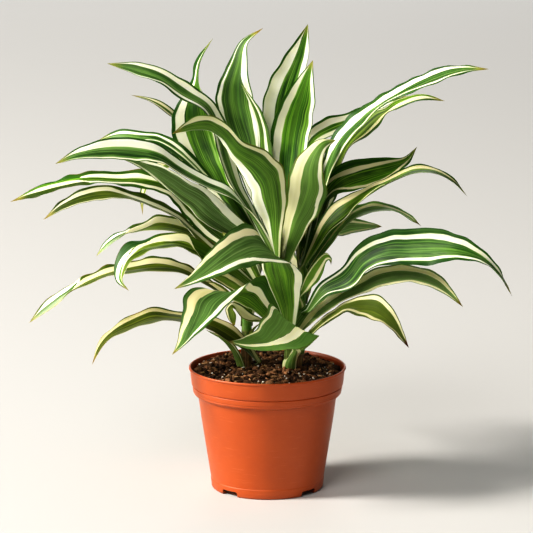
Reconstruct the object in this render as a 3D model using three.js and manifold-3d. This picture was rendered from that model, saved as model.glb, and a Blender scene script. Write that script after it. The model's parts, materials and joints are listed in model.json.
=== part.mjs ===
// A potted dracaena: three leafy shoots of green and cream striped leaves,
// in potting soil, in a moulded terracotta-coloured plastic nursery pot.
// Millimetres, +Z up. The origin is the middle of the pot's underside, and
// -Y is the front. Every leaf grew as one piece and is one closed solid.
import * as THREE from 'three';
import { mergeVertices } from 'three/addons/utils/BufferGeometryUtils.js';
import Module from 'manifold-3d';

const wasm = await Module();
wasm.setup();

// ---- driving dimensions ----------------------------------------------------
const POT_HEIGHT = 94.4;      // rim to table
const POT_RIM_R = 60;         // outside of the rolled lip
const POT_WALL = 1.3;         // moulded wall
const POT_FLOOR = 1.6;        // moulded floor
const POT_SEGMENTS = 44;
const NOTCH_HEIGHT = 4;       // drain notches where the wall meets the floor
const NOTCH_WIDTH = 15;
const NOTCH_ANGLES = [47.5, 137.5, 227.5, 317.5];   // degrees from +X
const SOIL_EDGE_Z = 90.6;     // soil level at the wall
const SOIL_MOUND = 5.0;       // the soil is heaped this much in the middle
const CANE_R = 4.4;           // cane radius where it leaves the soil
const CANE_TOP_R = 2.9;
const CANE_DEPTH = 22;        // buried length of each cane
const GAP = 0.3;              // clearance between pieces that touch
const LEAF_THICKNESS = 0.9;   // at the midrib
const LEAF_RINGS = 12;        // cross-sections along a leaf

// Outside of the pot, from the floor up: [radius, height].
const POT_OUTER = [
  [42.3, 0], [42.9, 0.9], [43.6, 7.0], [43.3, 7.6], [44.8, 16.8], [47.8, 36.3], [50.8, 55.8], [52.9, 71.6],
  [53.6, 73.0], [55.9, 74.2], [57.0, 76.0], [57.4, 80.2], [57.9, 80.6], [59.2, 92.2], [60, 92.9], [60, 93.8], [59.5, 94.4],
];
// Inside of the pot, from the lip down.
const POT_INNER = [
  [58.5, 94.2], [57.9, 92.6], [56.1, 78.0], [55.2, 75.4], [52.0, 73.9], [51.5, 71.4], [49.5, 55.8], [46.5, 36.3], [43.5, 16.8], [41.6, POT_FLOOR],
];

// Axis of each cane from its buried foot to its crown.
const CANES = {
  A: [[15.9, -12.3, 76.2], [16.5, -10.0, 98.0], [17.2, -7.0, 126.2], [14.1, -5.0, 154.6], [10.3, 0.0, 183.0]],
  B: [[-16.8, -8.3, 75.1], [-16.3, -5.0, 96.8], [-15.6, 0.0, 130.1], [-10.2, 2.0, 160.9], [-3.4, 6.0, 191.2]],
  C: [[21.1, -0.0, 74.9], [22.7, 2.0, 96.8], [24.9, 5.0, 129.0], [27.2, 6.0, 152.3], [27.9, 6.0, 177.2]],
};

// Leaf stations from base to tip. Each row: middle of the blade x, y, z,
// half-width vector x, y, z (from the midrib to one margin), depth of the channel.
const LEAVES = {
  leaf_01: [
    [6.5, -6.3, 178.5, 2.26, -4.01, 2.75, 1.07],
    [-2.5, -11.9, 198.4, 2.73, -5.7, 2.48, 1.36],
    [-12.9, -15.3, 216.9, 1.61, -7.76, 1.15, 1.6],
    [-27.3, -18.5, 231.9, -0.43, -9.45, -1.99, 1.93],
    [-45.7, -21.4, 241.2, -0.08, -10.51, -2.88, 2.18],
    [-63.3, -24.2, 251.7, 0.4, -10.75, -3.56, 2.27],
    [-80.2, -26.9, 263.2, 0.22, -9.32, -5.32, 2.15],
    [-99.9, -29.7, 267.1, 0.52, -6.78, -7.65, 2.05],
    [-120, -32.4, 267.8, 1.15, -4.69, -6.75, 1.66],
    [-139.7, -35.2, 265, 1.08, -2.73, -3.88, 0.97],
    [-157.9, -38, 257.4, 0, 0, 0, 0],
  ],
  leaf_02: [
    [-7.2, 15, 173, 2.31, -4.15, 1.62, 1],
    [-14.5, 17.2, 188.4, 2.61, -5.58, 1.37, 1.26],
    [-22.3, 19, 203.5, 2.47, -7.48, 0.92, 1.59],
    [-31.3, 21.1, 218, 1.82, -9.34, 0.1, 1.9],
    [-41.1, 24, 231.6, 0.63, -10.53, -1.34, 2.13],
    [-52.6, 27.7, 243.9, 0.03, -10.75, -2.76, 2.22],
    [-65.4, 31.9, 254.7, -0.31, -10.05, -4.12, 2.17],
    [-80.4, 38, 262.1, 0.28, -8.87, -4.02, 1.95],
    [-97.2, 45.9, 264.3, 0.38, -6.63, -3.34, 1.49],
    [-114.7, 53.9, 263.9, 0.77, -3.17, -4.12, 1.05],
    [-131.8, 62, 258.2, 0, 0, 0, 0],
  ],
  leaf_03: [
    [0.8, -1, 177, 4.93, -1.44, 1.84, 1.09],
    [-8.6, -2.5, 187.9, 5.79, -1.87, 3.45, 1.4],
    [-18.8, -4.2, 198, 6.48, -3.73, 5.38, 1.84],
    [-30.3, -5.9, 206.4, 6.97, -5.49, 7.26, 2.29],
    [-41.4, -6.9, 215.2, 7.64, -6.75, 9.33, 2.76],
    [-51.6, -6.9, 224.8, 6.75, -8.55, 9.25, 2.86],
    [-63.2, -5.8, 232.5, 5.25, -9.79, 8.02, 2.74],
    [-74.6, -4.2, 240.4, 4.17, -9.46, 7.27, 2.53],
    [-86.5, -2.1, 247.4, 2.86, -7.84, 5.76, 2.03],
    [-99.2, -0, 252.9, 1.41, -4.66, 3.43, 1.19],
    [-112.9, 2, 255.8, 0, 0, 0, 0],
  ],
  leaf_04: [
    [-10.2, -3.6, 173.7, -3.03, -2.9, -1.73, 0.91],
    [-25.9, -0.2, 187.7, -4.07, -0.72, -4.51, 1.22],
    [-42.4, 2.4, 201, -5.16, -0.98, -7.07, 1.76],
    [-57.3, 5.7, 215.9, -4.53, -3.95, -7.08, 1.86],
    [-71.9, 8.7, 231, -2.76, -7.25, -6.09, 1.97],
    [-92, 10.1, 237.5, -1.92, -9.17, -5.8, 2.2],
    [-113.3, 11, 238.1, -0.92, -9.75, -3.41, 2.07],
    [-134.7, 11.8, 238.5, -0.15, -8.99, -3.59, 1.94],
    [-155.4, 12.6, 233.8, 0.35, -6.97, -3.28, 1.54],
    [-175.9, 13.3, 227, 0.63, -3.83, -2.8, 0.96],
    [-196, 14, 219.1, 0, 0, 0, 0],
  ],
  leaf_05: [
    [-11.3, -5.6, 158.6, -1.88, -3.5, -1.59, 0.86],
    [-25.4, -4.7, 171.4, -2.14, -4.43, -2.59, 1.11],
    [-39.3, -3.4, 184.2, -1.6, -6.33, -2.53, 1.4],
    [-53, -1.3, 197.1, -0.64, -8.49, -2.02, 1.75],
    [-66.4, -1.3, 210.6, 0.76, -10, -1.23, 2.02],
    [-82.6, -2.6, 220.3, 0.75, -10.58, -1.96, 2.16],
    [-100.2, -4.6, 227.1, 1.49, -10.04, -1.88, 2.07],
    [-118.6, -6.9, 230.8, 1.81, -8.39, -3.59, 1.86],
    [-137, -9.2, 228.5, 2.15, -6.11, -4.17, 1.54],
    [-154.2, -11.6, 221.5, 1.67, -3.39, -2.44, 0.9],
    [-169.1, -14, 210.4, 0, 0, 0, 0],
  ],
  leaf_06: [
    [-4.5, 19.9, 181.4, 1.92, -2.45, 1.27, 0.67],
    [-11.3, 25.5, 194.7, 2.65, -3.09, 0.87, 0.83],
    [-18, 31.3, 208, 3.39, -4.13, 0.54, 1.07],
    [-27, 37.9, 219.7, 3.55, -5.3, -0.23, 1.28],
    [-37.7, 43.8, 230.4, 3.4, -6.05, -1.35, 1.41],
    [-49.9, 48.2, 239.3, 3.18, -5.84, -3.03, 1.46],
    [-64.6, 50.7, 244.7, 3.52, -4.83, -4.48, 1.49],
    [-79.9, 52.8, 242.9, 4.17, -4.21, -3.62, 1.39],
    [-91.9, 55.1, 232.4, 3.06, -3.98, -1.25, 1.04],
    [-97, 57.5, 216.8, 1.99, -2.6, -0.23, 0.66],
    [-97, 60, 200.3, 0, 0, 0, 0],
  ],
  leaf_07: [
    [-17.8, 2.4, 144.1, -1.5, -3.41, -1.99, 0.85],
    [-34.6, 3.8, 151.7, -0.55, -5.17, -1.15, 1.07],
    [-50.1, 5.3, 161.5, -0.4, -6.83, -1.76, 1.41],
    [-66.3, 6.2, 169.9, -0.16, -8.13, -2.77, 1.72],
    [-84.2, 5.4, 172.8, -0.17, -9.18, -4.15, 2.01],
    [-102.3, 2, 171.1, 0.42, -10.05, -2.74, 2.08],
    [-120.3, -3.3, 169.2, 1.04, -10.12, -2.13, 2.08],
    [-137.1, -9, 163.4, 1.44, -9.18, -1.51, 1.88],
    [-152.7, -14.6, 155.4, 1.72, -7.02, -1.51, 1.48],
    [-167, -20.3, 145.2, 2.33, -3.63, -2.25, 0.97],
    [-179.9, -26, 133.6, 0, 0, 0, 0],
  ],
  leaf_08: [
    [-10.5, -13, 158.6, -1.12, -4.29, -1.41, 0.93],
    [-21.8, -14.8, 168, -0.37, -5.04, -2.66, 1.14],
    [-33.4, -16.6, 177, 0.04, -5.98, -4.46, 1.49],
    [-45.3, -18.7, 185.4, 0.54, -7.24, -6.09, 1.9],
    [-57.6, -21.4, 193.2, 2.46, -8.79, -5.28, 2.11],
    [-71.2, -25.3, 197.4, 4.48, -9.9, -3.96, 2.31],
    [-84.6, -30.3, 196, 5.25, -9.64, -1.93, 2.23],
    [-98, -35.1, 193, 6.56, -8.15, -2.49, 2.15],
    [-108.1, -39.1, 184, 6, -6.47, -0.18, 1.76],
    [-111.1, -42.6, 170.9, 2.96, -4.02, 1.26, 1.03],
    [-103.4, -46, 162.6, 0, 0, 0, 0],
  ],
  leaf_09: [
    [-8.7, 9.7, 171, -1.52, -3.68, -1.58, 0.86],
    [-19.9, 10.9, 179.1, -1.24, -4.91, -2.08, 1.09],
    [-31.8, 12.2, 186, -0.74, -6.61, -2.25, 1.4],
    [-44.2, 12.8, 192.1, -0.32, -8.24, -2.64, 1.73],
    [-57, 13.5, 197.4, 0.02, -9.27, -3.43, 1.98],
    [-70.2, 16.2, 201.4, 0.45, -9.62, -4.23, 2.1],
    [-83.9, 19.5, 202.1, 1.07, -9.57, -4.09, 2.09],
    [-97.4, 23.1, 197.6, 0.93, -9.08, -1.29, 1.84],
    [-110.9, 26.7, 192.8, 1.54, -7.36, -1.36, 1.53],
    [-122.6, 30.3, 184.1, 1.6, -4.15, -1.21, 0.92],
    [-132.1, 34, 172.7, 0, 0, 0, 0],
  ],
  leaf_10: [
    [-25.5, 2, 153.9, 1.55, -1.62, 2.68, 0.7],
    [-29.8, 4.5, 158, 2.02, -2.37, 3.2, 0.89],
    [-34.1, 7, 162.2, 2.5, -3.55, 3.81, 1.16],
    [-38.4, 9.6, 166.3, 2.9, -4.89, 4.37, 1.44],
    [-42.6, 12.2, 170.6, 2.89, -5.98, 4.48, 1.6],
    [-46.6, 14.7, 175.1, 3.09, -6.45, 4.6, 1.7],
    [-49.2, 16.9, 180.6, 3.27, -6.25, 4.58, 1.68],
    [-52.2, 19, 185.8, 2.78, -5.7, 4.12, 1.51],
    [-56, 20.9, 190.6, 1.95, -4.77, 3.14, 1.21],
    [-60.5, 21.7, 194.8, 0.84, -2.9, 1.56, 0.68],
    [-65.4, 22, 198.9, 0, 0, 0, 0],
  ],
  leaf_11: [
    [-5.6, -6.8, 98.8, -1.52, -4.7, 0.33, 0.99],
    [-15.7, -11.6, 112.1, -1.98, -5.03, -1.66, 1.13],
    [-27.9, -11.6, 122.2, -2.98, -6.06, -4.36, 1.61],
    [-41.5, -11.5, 130, -1.77, -8.38, -3.25, 1.83],
    [-56.6, -13.6, 134.3, -0.48, -10.57, -1.84, 2.15],
    [-72, -17.6, 137.6, 0.54, -11.25, -1.77, 2.28],
    [-87.4, -22.8, 139.2, 1.46, -10.62, -3.48, 2.25],
    [-101.7, -29.3, 134.9, 2.05, -9.51, -2.86, 2.03],
    [-115.3, -36.7, 129.7, 2.06, -7.82, -1.24, 1.64],
    [-125.7, -44.3, 120, 1.66, -4.63, -0.38, 0.99],
    [-131.3, -52, 107.2, 0, 0, 0, 0],
  ],
  leaf_12: [
    [-20.1, -12, 96.9, 3.04, 0, 0, 0.61],
    [-21.4, -9.6, 100.3, 3, -0.64, 0.43, 0.62],
    [-22.8, -7.2, 103.6, 2.97, -2.32, 1.11, 0.79],
    [-24.5, -4.8, 106.8, 2.6, -3.94, 1.6, 1],
    [-26.8, -2.4, 109.7, 2.54, -4.88, 2.11, 1.18],
    [-29.5, -0.1, 112.3, 2.16, -5.36, 2.24, 1.24],
    [-32.5, 2, 114.5, 1.78, -5.37, 2.19, 1.21],
    [-35.8, 4, 116.5, 1.39, -4.92, 2.01, 1.1],
    [-39.5, 6, 117.8, 0.86, -4.01, 1.37, 0.87],
    [-43.3, 8, 119, 0.42, -2.36, 0.74, 0.5],
    [-47.1, 10, 120.1, 0, 0, 0, 0],
  ],
  leaf_13: [
    [-4.1, -6, 131.1, -0.76, -1.96, -0.73, 0.45],
    [-8.2, -8.5, 132.7, -0.95, -1.9, -1.8, 0.56],
    [-12.3, -11, 134.5, -1.12, -2.23, -2.7, 0.73],
    [-15.8, -13.4, 137.2, -1.25, -2.9, -3.18, 0.9],
    [-19.1, -15.6, 140.4, -1.18, -3.77, -3.26, 1.02],
    [-22.4, -17.3, 143.4, -0.36, -4.62, -2.61, 1.06],
    [-26.1, -18.7, 145.6, 1.16, -4.87, -1.32, 1.04],
    [-28.7, -20, 143.1, 2.9, -4.09, 0.35, 1],
    [-27.6, -21.3, 139.3, 3.51, -2.33, 0.75, 0.86],
    [-26.5, -22.7, 135.4, 2.67, -0.62, 0.49, 0.56],
    [-25.2, -24, 131.6, 0.76, 0, 0, 0.15],
  ],
  leaf_14: [
    [-23.1, -2.3, 144.7, 0.77, -0.56, 1.68, 0.39],
    [-25.2, -3.8, 147, 0.81, -1.35, 1.95, 0.5],
    [-27.2, -5.4, 149.2, 0.85, -2.23, 2.23, 0.65],
    [-29.2, -6.9, 151.5, 0.9, -3.01, 2.5, 0.8],
    [-31.3, -8.5, 153.7, 0.98, -3.55, 2.76, 0.92],
    [-33.5, -9.9, 155.7, 0.93, -3.82, 2.81, 0.97],
    [-35.7, -11.2, 157.6, 0.88, -3.73, 2.79, 0.95],
    [-38.1, -12.4, 159.3, 0.74, -3.33, 2.56, 0.85],
    [-40.4, -13.6, 161, 0.59, -2.65, 2.24, 0.7],
    [-43, -14.8, 162.2, 0.31, -1.55, 1.25, 0.4],
    [-45.7, -16, 163.1, 0, 0, 0, 0],
  ],
  leaf_15: [
    [-12.9, -4, 149, 1.91, -1.62, 2.68, 0.73],
    [-16, -6.4, 152, 2.38, -1.43, 3.68, 0.92],
    [-19.2, -8, 154.8, 2.83, -2.45, 4.9, 1.23],
    [-22.4, -7.7, 157.2, 2.76, -4.2, 5.57, 1.5],
    [-25.6, -7.3, 159.6, 2.66, -5.61, 6.11, 1.74],
    [-29.1, -6.9, 161.6, 2.41, -6.3, 6.25, 1.84],
    [-32.6, -6.5, 163.6, 2.11, -6.3, 6.19, 1.82],
    [-36.3, -6.2, 164.9, 1.64, -5.82, 5.44, 1.63],
    [-40.1, -6.1, 166.1, 1.1, -4.84, 4.36, 1.32],
    [-44.1, -6, 166.7, 0.56, -2.92, 2.29, 0.75],
    [-48.1, -6, 167.2, 0, 0, 0, 0],
  ],
  leaf_16: [
    [4.3, 2.5, 174.8, -2.29, -4.22, 0.86, 0.97],
    [-3.2, 0.5, 195.6, -2.51, -5.56, 0.38, 1.22],
    [-12.1, 0.5, 215.4, -2.34, -7.27, 0.07, 1.53],
    [-22.6, 2.4, 233.9, -3.26, -8.6, -0.96, 1.85],
    [-29.8, 5.8, 253.6, -5.08, -9.31, -2.21, 2.17],
    [-35.3, 9.6, 273.9, -4.75, -9.87, -2.72, 2.26],
    [-44.1, 13.1, 292.8, -2.91, -9.62, -2.98, 2.1],
    [-62.2, 16.3, 303.8, -3.21, -8.1, -4.73, 1.98],
    [-80.1, 19.5, 315, -2.12, -5.74, -4.57, 1.53],
    [-100.5, 22.8, 320.7, -1.22, -2.78, -4.12, 1.02],
    [-121.7, 26, 323.7, -0, -0, -0, 0],
  ],
  leaf_17: [
    [8, -15, 181.4, 1.49, -6.01, 1.22, 1.26],
    [6.4, -22.5, 198.4, 4.19, -5.7, 3.11, 1.55],
    [5.2, -27.4, 214.7, 7.9, -3.88, 4.82, 2.01],
    [2.4, -31.5, 230.6, 12.07, -1.19, 6.91, 2.79],
    [-1.2, -35.3, 246.1, 12.32, -2.12, 8.73, 3.05],
    [-9.8, -38.6, 258.7, 9.65, -7.32, 9.52, 3.08],
    [-21.7, -41.3, 268.3, 5.81, -11.29, 7.91, 2.99],
    [-30.7, -44.4, 280.8, 2.65, -11.37, 7.48, 2.77],
    [-42.7, -48.7, 290, 0.82, -8.9, 7.58, 2.34],
    [-57.1, -54.1, 289.3, -0.05, -4.92, 5.02, 1.41],
    [-70.1, -60, 283.5, 0, 0, 0, 0],
  ],
  leaf_18: [
    [-4.9, 14.1, 186.4, -2.3, 6, -2.74, 1.4],
    [-15.1, 20.2, 199.4, -5.05, 6.3, -3.38, 1.75],
    [-25.3, 26, 212.5, -7.84, 7.01, -4.11, 2.26],
    [-35.7, 31.5, 225.5, -10.69, 7.17, -4.8, 2.75],
    [-44, 36.4, 240.1, -13.75, 4.98, -4.76, 3.08],
    [-51, 41.8, 255.2, -16.57, 1.52, -4.19, 3.43],
    [-56.2, 45.9, 271.3, -17.53, 1.54, -3.43, 3.59],
    [-58, 47.5, 288.3, -13.1, 5.89, -2.67, 2.92],
    [-56.3, 49, 305.5, -3.84, 8.91, -2.5, 2],
    [-53.2, 50.5, 322.4, -2.08, 6.31, -1.19, 1.35],
    [-41.8, 52, 339.6, -0, -0, -0, 0],
  ],
  leaf_19: [
    [8.8, 8.2, 179.1, -2.26, 5.49, -1.88, 1.25],
    [3.9, 12.9, 196.4, -4.48, 6.03, -1.58, 1.54],
    [-1.8, 16.3, 213.8, -7.05, 6.87, -1.54, 1.99],
    [-8.2, 19.8, 230.9, -9.53, 7.65, -1.56, 2.46],
    [-13.6, 23.3, 248.4, -11.4, 7.84, -1.13, 2.78],
    [-18.5, 26.9, 266, -13.06, 5.7, -0.21, 2.85],
    [-23.2, 30.4, 283.7, -14.68, 1.83, 0.96, 2.97],
    [-25.3, 33.8, 301.7, -13.38, 1.83, 1.7, 2.72],
    [-22.4, 37.2, 319.7, -7.69, 5.09, 1.36, 1.86],
    [-17.8, 40.6, 337.4, -2.72, 4.71, 1.14, 1.11],
    [-3.4, 44, 348.4, -0, -0, -0, 0],
  ],
  leaf_20: [
    [8.8, -3.3, 183.7, 1.5, -3.48, 0.7, 0.77],
    [6.9, -1.5, 196.7, 2.57, -4.07, 1.12, 0.99],
    [4.9, 0.3, 209.6, 3.63, -5.04, 1.61, 1.28],
    [3, 2.6, 222.5, 4.55, -6.16, 2.09, 1.59],
    [1.4, 4.9, 235.4, 5.02, -7.1, 2.45, 1.81],
    [-0.2, 7.3, 248.3, 5.12, -7.64, 2.68, 1.92],
    [-1.5, 9.7, 261.2, 4.73, -7.56, 2.75, 1.87],
    [-3.3, 12.2, 274, 4.19, -6.88, 2.68, 1.7],
    [-7.2, 14.8, 286.4, 3.15, -5.62, 2.3, 1.37],
    [-13, 17.4, 298, 1.67, -3.34, 1.37, 0.8],
    [-20, 20, 308.9, 0, 0, 0, 0],
  ],
  leaf_21: [
    [11.9, 3.5, 185.4, -2.31, -5.11, 1.02, 1.14],
    [11.4, 7.2, 202.4, -4.34, -5.6, 1.52, 1.45],
    [11, 11, 219.4, -6.4, -6.51, 2.09, 1.87],
    [10.5, 14.7, 236.4, -8.59, -7.18, 2.59, 2.3],
    [9.8, 17.3, 253.6, -10.77, -6.7, 2.87, 2.6],
    [8.9, 19.9, 270.8, -12.82, -4.31, 2.81, 2.76],
    [9.5, 22.6, 287.9, -13.51, -1.26, 2.81, 2.77],
    [13, 25.4, 304.7, -12.66, -0, 2.91, 2.6],
    [19.1, 28.2, 320.7, -10.18, -0, 2.44, 2.09],
    [25.5, 31.1, 336.5, -6.15, -0, 1.38, 1.26],
    [30.8, 34, 352.8, -0, -0, -0, 0],
  ],
  leaf_22: [
    [11.8, -8, 186.2, -2.24, 5.76, -1.15, 1.26],
    [11.8, -6.9, 200.9, -5.05, 5.86, -0.73, 1.55],
    [11.9, -4.9, 215.5, -7.81, 6.42, -0.38, 2.02],
    [12.6, -3.1, 230, -10.21, 6.93, 0.09, 2.47],
    [13.7, -1, 244.5, -12.39, 6.87, 0.67, 2.84],
    [15.2, 1.3, 258.9, -13.66, 5.46, 1.48, 2.96],
    [17.3, 3.5, 273.2, -14.36, 2.61, 2.45, 2.96],
    [20.6, 5.3, 287.3, -13.42, 0.5, 2.96, 2.75],
    [25.2, 6.9, 301.1, -11.04, 0.93, 2.49, 2.27],
    [29.3, 8.5, 315, -5.4, 1.86, 1.24, 1.17],
    [34.3, 10, 328.6, -0, -0, -0, 0],
  ],
  leaf_23: [
    [13.7, -11, 177.5, 3.37, -5.16, 1.05, 1.25],
    [15.6, -14.2, 188.7, 6, -5.09, -0.11, 1.57],
    [18.6, -17.5, 199.5, 7.58, -6.2, -1.01, 1.97],
    [21.9, -20.5, 210.2, 9.26, -7.11, -2.07, 2.37],
    [25.7, -22.8, 220.4, 11.54, -6.12, -3.85, 2.72],
    [28.9, -23.8, 230.7, 13.44, -3.39, -5.61, 2.99],
    [30.6, -23.7, 241, 14.43, -1.83, -6.82, 3.21],
    [31.8, -22.2, 251.2, 10.42, -3.67, -6.68, 2.58],
    [35.7, -19, 260.3, 5.89, -5.65, -5.24, 1.94],
    [41.8, -14.7, 268.1, 2.09, -4.16, -3.55, 1.17],
    [51.5, -10, 270.8, 0, 0, 0, 0],
  ],
  leaf_24: [
    [29, 3.1, 180.1, -1.85, 4.56, -0.14, 0.98],
    [34.5, 1.2, 202.5, -2.8, 5.54, 0.64, 1.25],
    [39.3, -1.4, 225, -2.98, 7.13, 1.11, 1.56],
    [44.3, -4.2, 247.4, -3.74, 8.67, 1.76, 1.92],
    [52.7, -6.5, 268.3, -4.62, 9.79, 2.67, 2.23],
    [66.7, -8.2, 285.7, -3.74, 10.72, 2.73, 2.33],
    [83.5, -9.6, 299.5, -1.88, 10.86, 1.82, 2.23],
    [102.9, -10.7, 309.9, -1.56, 9.55, 2.79, 2.01],
    [123, -11.8, 318.6, -1.4, 7.07, 4.09, 1.66],
    [143.9, -12.9, 324.8, -0.35, 3.86, 2.96, 0.98],
    [165.4, -14, 325.1, -0, -0, -0, 0],
  ],
  leaf_25: [
    [31.7, 9.1, 182.8, -2.23, 4.22, -0.84, 0.97],
    [36.9, 13, 198.8, -2.85, 5.35, -0.33, 1.21],
    [42, 16.9, 215, -3.28, 7.09, 0.03, 1.56],
    [47.3, 20.8, 231.1, -2.85, 9.06, 0.1, 1.9],
    [53.1, 23.8, 247.1, -1.94, 10.61, 0.08, 2.16],
    [61.1, 24, 262.4, -1.43, 10.95, 0.8, 2.21],
    [73.7, 24.1, 274.2, -3.19, 9.98, 3.62, 2.22],
    [86.7, 24.4, 285.7, -2.34, 8.85, 3.7, 1.97],
    [101.6, 24.8, 293.8, -0.32, 7.36, 2.03, 1.53],
    [118.3, 25.3, 298, 0.19, 4.31, 1.93, 0.95],
    [135, 26, 294.9, -0, -0, -0, 0],
  ],
  leaf_26: [
    [18, 6.8, 191, -2.25, 4.44, -0.87, 1.01],
    [19.3, 12.7, 206.5, -2.71, 5.71, -0.36, 1.27],
    [20.8, 18.9, 222, -3.13, 7.46, 0.09, 1.62],
    [23, 25.5, 237.4, -3.32, 9.25, 0.54, 1.97],
    [26.6, 32.9, 252.4, -3.59, 10.42, 1.18, 2.22],
    [34.9, 40.8, 265.2, -4.25, 10.38, 2.62, 2.3],
    [49.4, 49.6, 272, -4.77, 9.58, 4.94, 2.36],
    [65.1, 58.3, 276.6, -3.31, 8.95, 2.99, 2],
    [80.1, 67, 282.9, -2.09, 7.57, 2.31, 1.64],
    [95.8, 75.5, 288, -0.96, 4.44, 1.69, 0.97],
    [112.6, 84, 290.1, -0, -0, -0, 0],
  ],
  leaf_27: [
    [29.1, 11.6, 184.6, -1.85, 4.77, -0.17, 1.02],
    [32.7, 10.4, 197, -1.94, 6.2, 0.04, 1.3],
    [36.3, 8.9, 209.3, -2.04, 8.07, 0.19, 1.66],
    [40.9, 7.1, 221.3, -2.47, 9.55, 0.58, 1.98],
    [48.2, 5.6, 231.4, -4.45, 9.03, 3.6, 2.14],
    [58.4, 5.4, 238.4, -6.67, 6.48, 8.05, 2.46],
    [70.2, 10.8, 241.6, -6.61, 4.28, 9.3, 2.44],
    [82.3, 16.8, 243.8, -5.93, 4.04, 8.24, 2.19],
    [94.6, 22.6, 245.8, -4.77, 4.68, 5.33, 1.71],
    [106.3, 28.4, 249.5, -2.48, 3.66, 1.2, 0.92],
    [114.5, 34, 258.2, -0, -0, -0, 0],
  ],
  leaf_28: [
    [27.8, -3.7, 174.1, -1.46, 4.53, -0.54, 0.96],
    [35.1, -8.1, 189.8, -3.18, 4.7, 1.24, 1.16],
    [42.9, -11.9, 204.9, -4.28, 5.38, 2.69, 1.48],
    [53.8, -13.8, 217.2, -5.18, 6.99, 4.02, 1.92],
    [66.4, -15.4, 227.6, -3.05, 9.5, 2.05, 2.04],
    [80.2, -16.6, 236.1, -1.03, 11.2, 0.04, 2.25],
    [94.4, -17.8, 244, -0.31, 11.08, 0.35, 2.22],
    [109.2, -19.2, 250.2, -0.04, 9.86, 1.68, 2],
    [125, -20.7, 249.8, 0.53, 7.9, 0.98, 1.6],
    [139, -22.3, 242.6, 0.75, 4.62, 0.52, 0.94],
    [149.5, -24, 230.6, -0, -0, -0, 0],
  ],
  leaf_29: [
    [29.1, 11, 162.9, -1.87, 3.43, 0.07, 0.78],
    [35.3, 7.4, 173.7, -1.96, 4.4, 0.72, 0.97],
    [41.6, 6.1, 184, -2.04, 5.69, 1.32, 1.24],
    [48.2, 5.5, 193.9, -2.3, 6.97, 2.08, 1.53],
    [55.2, 4.9, 203.4, -2.21, 7.99, 2.63, 1.74],
    [63.6, 4.3, 211.7, -1.55, 8.59, 2.74, 1.83],
    [74.4, 3.7, 215.9, -0.79, 8.5, 2.67, 1.79],
    [85.9, 3.2, 217.6, -0.01, 7.85, 2.28, 1.63],
    [97.3, 2.8, 215.8, 0.35, 6.45, 0.71, 1.3],
    [107.5, 2.4, 210, 0.85, 3.75, 0.96, 0.79],
    [116.6, 2, 202.8, -0, -0, -0, 0],
  ],
  leaf_30: [
    [30.6, 11.2, 162.9, -1.86, 3.89, -0.03, 0.86],
    [33.1, 13.1, 170.1, -1.8, 5.15, 0.21, 1.09],
    [35.6, 17, 176.8, -1.74, 6.8, 0.37, 1.4],
    [39.2, 21.2, 183.2, -1.49, 8.46, 0.48, 1.72],
    [43.3, 25.9, 189, -1.39, 9.64, 0.8, 1.95],
    [49.5, 33.8, 192.5, -1.2, 9.87, 1.65, 2.01],
    [57.2, 43.5, 193, -1.37, 8.92, 3.93, 1.97],
    [65.1, 53.7, 193.1, -1.13, 7.58, 4.74, 1.8],
    [73.3, 63.9, 191.3, -0.62, 6.11, 3.34, 1.4],
    [81.6, 74, 189.1, -0.25, 3.59, 2.27, 0.85],
    [90, 84, 186.6, -0, -0, -0, 0],
  ],
  leaf_31: [
    [25.2, 0, 148.5, 1.11, -2.53, 0.93, 0.58],
    [27.5, -1.6, 152.7, 2.17, -2.53, -0.39, 0.67],
    [29.8, -3.2, 157, 3.1, -2.74, -1.58, 0.89],
    [32.1, -4.8, 161.3, 3.59, -3.18, -2.4, 1.07],
    [34.5, -6.4, 165.4, 3.83, -3.69, -3.07, 1.23],
    [36.8, -7.8, 169.7, 3.52, -4.15, -3.37, 1.28],
    [39.3, -9.2, 173.7, 2.81, -4.3, -3.44, 1.24],
    [41.9, -10.4, 177.7, 1.7, -4.11, -3.32, 1.11],
    [44.9, -11.6, 181.2, 0.1, -3.66, -2.64, 0.9],
    [47.7, -12.8, 180.1, -0.72, -2.42, -0.08, 0.5],
    [48.1, -14, 175.8, 0, 0, 0, 0],
  ],
  leaf_32: [
    [30.8, -9.6, 140.4, -2.21, 5.64, -0.07, 1.21],
    [42.3, -14.1, 156.5, -3.46, 5.04, 3.81, 1.44],
    [59.1, -18.9, 166.3, -3.56, 5.41, 7.04, 1.91],
    [70.8, -24.3, 182.5, -3.58, 6.49, 8.73, 2.29],
    [86.9, -30.5, 192, -2.56, 6.91, 10.83, 2.62],
    [105.4, -37.3, 194.3, -1.25, 6.43, 12.72, 2.86],
    [123.9, -44.5, 196.4, 0.18, 6.82, 12.37, 2.83],
    [142.2, -51.7, 196.6, 1.56, 8.65, 7.87, 2.36],
    [159.3, -59.1, 191.8, 1.58, 9.01, 2.8, 1.91],
    [172.2, -66.6, 180, 0.96, 5.77, 0.72, 1.18],
    [180.5, -74, 164.8, -0, -0, -0, 0],
  ],
  leaf_33: [
    [21.8, -1.6, 123.5, -4.58, -0, 2.35, 1.03],
    [31.5, -4, 135.5, -5.42, 1.38, 4.24, 1.4],
    [43.7, -6.6, 144.5, -3.99, 4.92, 3.56, 1.45],
    [56.6, -9.3, 152.5, -2.58, 8.1, 3.1, 1.81],
    [69.9, -12.5, 159.6, -1.85, 9.45, 4.36, 2.11],
    [83.2, -16.6, 166.6, -0.99, 9.77, 5.47, 2.25],
    [97.4, -21.2, 170.5, 0.26, 9.51, 5.45, 2.19],
    [111.9, -25.9, 171.1, 1.54, 8.53, 4.4, 1.94],
    [125.5, -30.6, 167.3, 2.29, 6.64, 4.33, 1.65],
    [136.9, -35.3, 159.2, 1.69, 3.81, 2.26, 0.95],
    [146.6, -40, 149, -0, -0, -0, 0],
  ],
  leaf_34: [
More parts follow.
